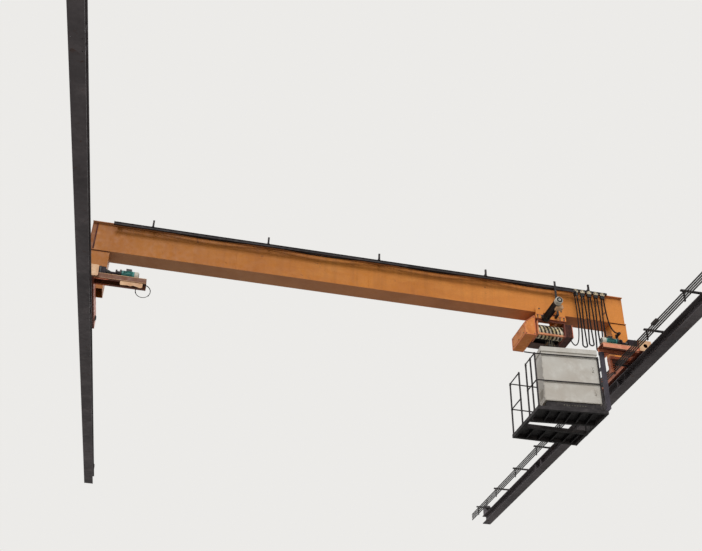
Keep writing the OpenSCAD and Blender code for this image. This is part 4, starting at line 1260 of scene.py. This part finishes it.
foot = Shape()
foot.block((-0.021, -0.021, 0.0), (0.021, 0.021, 0.006), 0.002)
foot.lathe((0, 0, 0.006), UP, [(0, 0.0215), (0.002, 0.0215), (0.012, 0.0165)], 20)
knuckle = Shape()
knuckle.lathe((0, 0, -0.020), UP, [
    (0, 0.0165), (0.004, 0.0185), (0.020, 0.0185), (0.0295, 0.0165), (0.030, 0.014)], 20)
skew_end = (7.582 + 1.1 * math.cos(SKEW), -1.412 + 1.1 * math.sin(SKEW))
posts = [(7.582, y) for y in (-1.412, -1.211, -1.000, -0.671, -0.233)]
posts += [skew_end, (8.728, -0.233), (8.728, -0.692)]
for name, part, z, scale in (
        ("feet", foot, -1.3895, 1.0), ("knuckles", knuckle, -0.42, 1.0),
        ("collars", knuckle, -0.910, 0.95)):
    placed("guard_rail_" + name, "bridge", PAINTS["dark_steel"], part,
           [((x, y, z), UP, RIGHT) for x, y in posts], scale)

hanger_parts = Shape()
hanger_parts.block((9.183, -0.686, 0.20), (9.1895, -0.624, 0.2595), 0.001)
for y in (-0.655, -0.240):
    hanger_parts.blocks(0.001, (
        (9.1835, y - 0.031, -0.875, 9.1895, y + 0.031, -0.80),
        (8.7505, y - 0.045, -1.449, 8.7565, y + 0.045, -1.375),
    ))
hanger_parts.piece("hanger_plates", "bridge", "hanger_paint")
bolted("hanger_bolts", "bridge", [
    ((9.183, y, z), LEFT)
    for y, z in grid((-0.672, -0.640), (0.23, -0.84)) + grid((-0.256, -0.224), (-0.84,))
], 0.5)

cabinet = Shape()
cabinet.blocks(0.001, (
    (0.121, 0.0365, -0.884, 0.127, 0.0395, -0.345),
    (1.067, 0.0365, -0.884, 1.073, 0.0395, -0.345),
    (0.121, 0.0365, -1.250, 0.127, 0.0395, -0.892),
    (1.067, 0.0365, -1.250, 1.073, 0.0395, -0.892),
))
for z in (-1.250, -0.898, -0.884, -0.351):
    cabinet.block((0.127, 0.0365, z), (1.067, 0.0395, z + 0.006), 0.001)
cabinet.blocks(0.002, (
    (0.100, 0.026, -0.3365, 1.094, 0.384, -0.3305),
    (0.100, 0.026, -0.3365, 1.094, 0.031, -0.318),
))
on_front(cabinet)
cabinet.piece("cabinet_trim", "bridge", "cabinet_paint")

fittings = Shape()
for z in (-0.62, -1.06):
    fittings.block((0.97, 0.026, z - 0.055), (1.000, 0.0365, z + 0.055), 0.003)
    fittings.rod((0.985, 0.014, z - 0.035), (0.985, 0.014, z + 0.035), 0.007, 12)
    for dz in (-0.030, 0.030):
        fittings.rod((0.985, 0.014, z + dz), (0.985, 0.028, z + dz), 0.006, 10)
for z in (-0.80, -0.62, -0.42, -1.18, -0.96):
    fittings.rod((0.1075, 0.045, z - 0.028), (0.1075, 0.045, z + 0.028), 0.0065, 10)
for x in (0.30, 0.42, 0.54, 0.66):
    fittings.lathe((x, 0.371, -1.10), FAR, [(0, 0.017), (0.012, 0.017), (0.014, 0.013), (0.030, 0.011)], 8)
on_front(fittings)
fittings.piece("cabinet_fittings", "bridge", "cabinet_paint")

vent = Shape()
vent.lathe((0, 0, 0), UP, [(0, 0.0125), (0.002, 0.0125), (0.004, 0.0095)], 12)
placed("plinth_studs", "bridge", PAINTS["rope_steel"], vent,
       [(FRONT @ Vector((0.43 + 0.045 * i, 0.060, -1.318)), TURN @ Vector(NEAR)) for i in range(9)], 0.8)
slat = Shape()
slat.prism([(-0.004, 0.0), (0.004, 0.0), (-0.004, 0.006)], "X", -0.09, 0.09)
placed("cabinet_louvres", "bridge", PAINTS["cabinet_paint"], slat,
       [(FRONT @ Vector((0.112, 0.213, z)), TURN @ Vector(LEFT), TURN @ Vector(FAR))
        for z in [-1.16 + 0.02 * i for i in range(8)]])

# Trolley.

MOTOR_X, MOTOR_Z = 8.400, 1.110  # the trolley motor's axis
finned_motor(
    "trolley_drive_motor", "trolley", "motor_paint", (MOTOR_X, -0.212, MOTOR_Z), NEAR, 0.70, 0.073,
    BLACK_PARTS, PALE_COWL, flange=(0.058, 0.080), cowl_length=0.095, replaces="trolley_motor", fins=24)
rings = Shape()
for r, wide, paint in ((0.056, 0.008, 0), (0.024, 0.006, 1), (0.009, 0.002, 0)):
    rings.lathe(
        (MOTOR_X, -0.9115 + r * 0.05, MOTOR_Z), NEAR, [(0, r), (0.002, r), (0.0025, r - wide)], 28, paint)
rings.piece("trolley_motor_rings", "trolley", "motor_paint", BLACK_PARTS, PALE_COWL)

terminal = Shape()
terminal.blocks(0.002, (
    (8.377, -0.795, 1.0745, 8.513, -0.689, 1.0805),
    (8.384, -0.788, 1.0805, 8.506, -0.696, 1.087),
))
gland_profile = [(0, 0.013), (0.010, 0.013), (0.012, 0.010), (0.024, 0.009)]
for y in (-0.765, -0.72):
    terminal.lathe((8.5105, y, 1.04), RIGHT, gland_profile, 6)
terminal.piece("terminal_box_trim", "trolley", "cabinet_paint", CREAM_PAINT_AND_HIGHLIGHT)

trolley_bolts = []
for x, facing, z in grid((8.25, 8.33, 8.70, 8.78), (NEAR, FAR), (1.125, 1.165)):
    trolley_bolts.append(((x, facing[1] * 0.212, z), facing))
for x in (8.29, 8.74):
    trolley_bolts.append(((x, 0.212, 1.3163), FAR))
    if x > 8.5:
        trolley_bolts.append(((x, -0.212, 1.3163), NEAR))
bolted("trolley_bolts", "trolley", trolley_bolts, 0.85)
flange_bolts = [((MOTOR_X + a, -0.270, MOTOR_Z + b), NEAR) for a, b in around(6, 0.068, 0.26)]
bolted("motor_flange_bolts", "trolley", flange_bolts, 0.42)

brace = Shape()
outline = [(8.46, 1.185), (8.50, 1.185), (8.665, 1.36), (8.665, 1.385), (8.64, 1.385)]
brace.prism(outline, "Y", -0.2185, -0.2125)
brace.blocks(0.001, (
    (8.205, -0.2185, 1.183, 8.825, -0.2125, 1.190),
    (8.205, -0.2185, 1.100, 8.825, -0.2125, 1.107),
))
brace.piece("side_plate_braces", "trolley", "girder_paint", SALMON_PAINT)

holes = Shape()
holes.lathe((0, 0, 0), UP, [(0, 0.0115), (0.0012, 0.0115), (0.0016, 0.0095)], 12)
placed("tow_arm_holes", "trolley", BOLT_STEEL, holes,
       [((8.61, -0.3402, z), NEAR) for z in [1.22 + 0.06 * i for i in range(9)]], 0.8)

# A bent wire guide in front of the first carrier, held by the tow arm.

guide = Shape()
guide_line = smoothed([
    (9.030, -0.345, 1.735), (9.030, -0.358, 1.70), (9.034, -0.362, 1.62), (9.050, -0.362, 1.575),
    (9.090, -0.362, 1.560), (9.130, -0.362, 1.575), (9.145, -0.362, 1.62), (9.130, -0.362, 1.660),
    (9.090, -0.362, 1.668), (9.052, -0.362, 1.655),
], 4)
guide.tube(guide_line, 0.005, 8)
guide.block((9.018, -0.3455, 1.728), (9.044, -0.3405, 1.748), 0.001)
guide.piece("cable_guide_wire", "trolley", "dark_steel", BLACK_PARTS)

# Hoist.

hoist_parts = Shape()
for x0, x1 in ((8.236, 8.2395), (8.7965, 8.800)):
    for y in (-0.17, 0.34):
        hoist_parts.block((x0, y - 0.014, 0.775), (x1, y + 0.028, 1.095), 0.001)


def hoist_frame_paint():
    """Salmon-orange paint, dark red at the top and at the gear case's end, and a near-black painted shade
    on the far side.
    """
    r = Recipe("hoist_frame_paint")
    grain = r.noise(24.0, 6.0, 0.7)
    tone = r.mix(r.range(grain, 0.35, 0.7), colour(232, 158, 112), colour(196, 116, 76))
    dark = r.math(
        "MAXIMUM", r.range(r.axis(r.place, "X"), 8.72, 8.77), r.range(r.axis(r.place, "Z"), 1.04, 1.07))
    tone = r.mix(dark, tone, r.mix(grain, colour(132, 60, 38), colour(92, 40, 28)))
    # Painted shade: the frame's far side, beyond y 0.15, is painted near black.
    far_side_shade = r.math("MULTIPLY", r.range(r.axis(r.place, "Y"), 0.12, 0.15), 0.9)
    tone = r.mix(far_side_shade, tone, r.mix(grain, colour(30, 22, 20), colour(14, 11, 11)))
    r.bump(grain, 0.0005)
    return r.finish(tone, r.range(grain, 0.3, 0.7, 0.45, 0.7))


def banded_rope():
    """Rope windings with pale, greasy bands between dark gaps."""
    r = Recipe("banded_rope")
    across = r.math("MULTIPLY", r.axis(r.place, "X"), 84.0)
    slant = r.math("MULTIPLY", r.axis(r.place, "Z"), 30.0)
    bands = r.range(r.math("SINE", r.math("ADD", across, slant)), -0.35, 0.35)
    grain = r.noise(60.0, 5.0, 0.65)
    pale = r.mix(r.range(r.noise(9.0), 0.4, 0.6), colour(255, 248, 232), colour(232, 216, 160))
    tone = r.mix(bands, r.mix(grain, colour(44, 34, 30), colour(70, 58, 44)), pale)
    r.bump(grain, 0.0004)
    return r.finish(tone, r.range(grain, 0.3, 0.7, 0.35, 0.6))


FRAME_PAINT = hoist_frame_paint()
ROPE_BANDS = banded_rope()
END_BOX_PAINT = weathered(
    "end_box_paint", (230, 144, 74), (194, 110, 52), (240, 172, 106), patch=4.0, rust=0.2, dust=0.2,
    shine=0.3)
VIOLET_PAINT = weathered(
    "dark_violet_paint", (38, 26, 34), (24, 16, 22), (56, 40, 50), patch=6.0, dust=0.15, shine=0.25)
# Painted shade on the shelves: the faces that look down, and the near faces on the crane's left half.
SHELF_PAINT = weathered(
    "shelf_paint", (234, 152, 114), (192, 110, 78), (242, 178, 144), patch=3.2, rust=0.35,
    rust_tone=(104, 48, 34), dust=0.45, dust_tone=(226, 200, 172), streak=0.35,
    underside_shade=(92, 38, 22), left=(104, 62, 36))
for node_name, paint in {
    "hoist_frame": FRAME_PAINT,
    "hoist_end_box": END_BOX_PAINT,
    "drive_shelves": SHELF_PAINT,
    "drive_gearboxes": VIOLET_PAINT,
    "motor_terminal_box": CREAM_PAINT_AND_HIGHLIGHT,
    # Painted highlight: the end trucks' near plates take the cream paint, lighter than the truck paint, for
    # their lit faces.
    "end_truck_plates": CREAM_PAINT_AND_HIGHLIGHT,
}.items():
    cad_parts[node_name].data.materials[0] = paint
hoist_parts.piece("hoist_frame_plates", "trolley", "girder_paint", FRAME_PAINT)

DRUM_Z, DRUM_RADIUS = 0.935, 0.1195
wound("drum_rope", "trolley", ROPE_BANDS, (8.300, 0.0, DRUM_Z), 21.0, 0.1265, 0.43, 0.0072)
drum_parts = Shape()
cheek = [(0, 0.090), (0.004, 0.143), (0.018, 0.1435), (0.022, 0.128)]
barrel = [(0, 0.119), (0.001, DRUM_RADIUS), (0.477, DRUM_RADIUS), (0.478, 0.119)]
for x, facing, profile in ((8.2565, RIGHT, cheek), (8.7795, LEFT, cheek), (8.279, RIGHT, barrel)):
    drum_parts.lathe((x, 0, DRUM_Z), facing, profile, 40)
drum = drum_parts.piece("rope_drum", "trolley", "drum_steel", ROPE_BANDS)
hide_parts("hoist_drum")
groove = Shape()
groove.tube([(0.0, a, b) for a, b in around(32, DRUM_RADIUS)], 0.0035, 6, closed=True)
placed("drum_grooves", "trolley", ROPE_BANDS, groove,
       [((8.2895 + 0.0205 * i, 0.0, DRUM_Z), UP, RIGHT) for i in range(24)])

# The hoist motor is painted black all over, cowl too; the black also stands in as painted shade under the
# hoist.
finned_motor(
    "hoist_motor_case", "trolley", "motor_paint", (8.2565, 0.265, DRUM_Z), RIGHT, 0.523, 0.09,
    BLACK_PARTS, BLACK_PARTS, cowl_length=0.10, replaces="hoist_motor", fins=28)

gear_parts = Shape()
for x in (8.830, 8.870, 8.910):
    gear_parts.block((x, -0.186, 0.79), (x + 0.010, -0.1805, 1.05), 0.001)
gear_parts.block((8.938, -0.1865, 0.78), (8.952, -0.1805, 1.06), 0.001, 1)
gear_parts.block((8.9505, -0.14, 0.82), (8.956, 0.33, 1.02), 0.002)
gear_parts.piece("gear_case_ribs", "trolley", "gearbox_paint", PAINTS["gearbox_paint"], SALMON_PAINT)
bolted("gear_case_bolts", "trolley",
       [((8.9505, y, z), RIGHT) for y, z in grid((-0.16, 0.0, 0.18, 0.355), (0.80, 1.04))], 0.7)

box_trim = Shape()
box_outline = [(7.985, 0.736), (8.195, 0.736), (8.195, 1.168), (7.985, 0.993)]
for y in (-0.1835, 0.4935):
    for i in range(4):
        a, b = box_outline[i], box_outline[(i + 1) % 4]
        box_trim.rod((a[0], y, a[1]), (b[0], y, b[1]), 0.0055, 8)
for x, z in box_outline:
    box_trim.rod((x, -0.18, z), (x, 0.49, z), 0.0045, 8)
box_trim.piece("end_box_edges", "trolley", "girder_paint", SALMON_PAINT)
box_cover = Shape()
box_cover.block((7.9805, -0.13, 0.775), (7.9845, 0.44, 0.955), 0.002)
box_cover.piece("end_box_cover", "trolley", "girder_paint", END_BOX_PAINT)
bolted("end_box_bolts", "trolley",
       [((7.9805, y, z), LEFT) for y, z in grid((-0.115, 0.155, 0.425), (0.79, 0.94))]
       + [((x, -0.1805, z), NEAR) for x, z in ((8.01, 0.76), (8.17, 0.76), (8.17, 1.12), (8.01, 0.98))]
       + [((x, y, z), facing) for x, facing in ((8.2355, LEFT), (8.8005, RIGHT))
          for y, z in ((-0.165, 0.80), (-0.165, 1.07))], 0.55)

# Hook block and hook.

HOOK_X, SHEAVE_Z, ROPE_TOP = 8.518, 0.595, 0.8268
block_parts = Shape()
for x, side in ((8.464, -1), (8.572, 1)):
    block_parts.lathe((x, 0, SHEAVE_Z), (side, 0, 0), [
        (0, 0.052), (0.004, 0.052), (0.006, 0.034), (0.012, 0.032), (0.014, 0.020)], 24)
    for a, b in around(4, 0.085, math.pi / 4):
        block_parts.lathe(
            (x, a, SHEAVE_Z + b), (side, 0, 0), [(0, 0.010), (0.006, 0.010), (0.007, 0.008)], 6)
block_parts.piece("hook_block_caps", "hook", "hook_paint", BLACK_PARTS)
nut = Shape()
nut.lathe((HOOK_X, 0, 0.4265), DOWN, [(0, 0.046), (0.010, 0.048), (0.020, 0.046), (0.022, 0.026)], 24)
latch = smoothed([
    (HOOK_X, 0.0, 0.372), (8.542, 0.004, 0.360), (8.556, 0.006, 0.342), (8.566, 0.006, 0.325)], 3)
nut.tube(latch, 0.004, 8)
nut.piece("hook_nut", "hook", "hook_steel", BOLT_STEEL)

# The rope's four falls, between the drum and the hook block.

falls = Shape()
for x, y in grid((8.496, 8.540), (-0.0873, 0.0873)):
    falls.tube([(x, y, z) for z in (SHEAVE_Z, 0.711, ROPE_TOP)], 0.007, 12)
rope_lines = falls.piece("rope_lines", None, "rope_steel", PAINTS["rope_steel"])
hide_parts("rope_falls")
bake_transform(rope_lines)
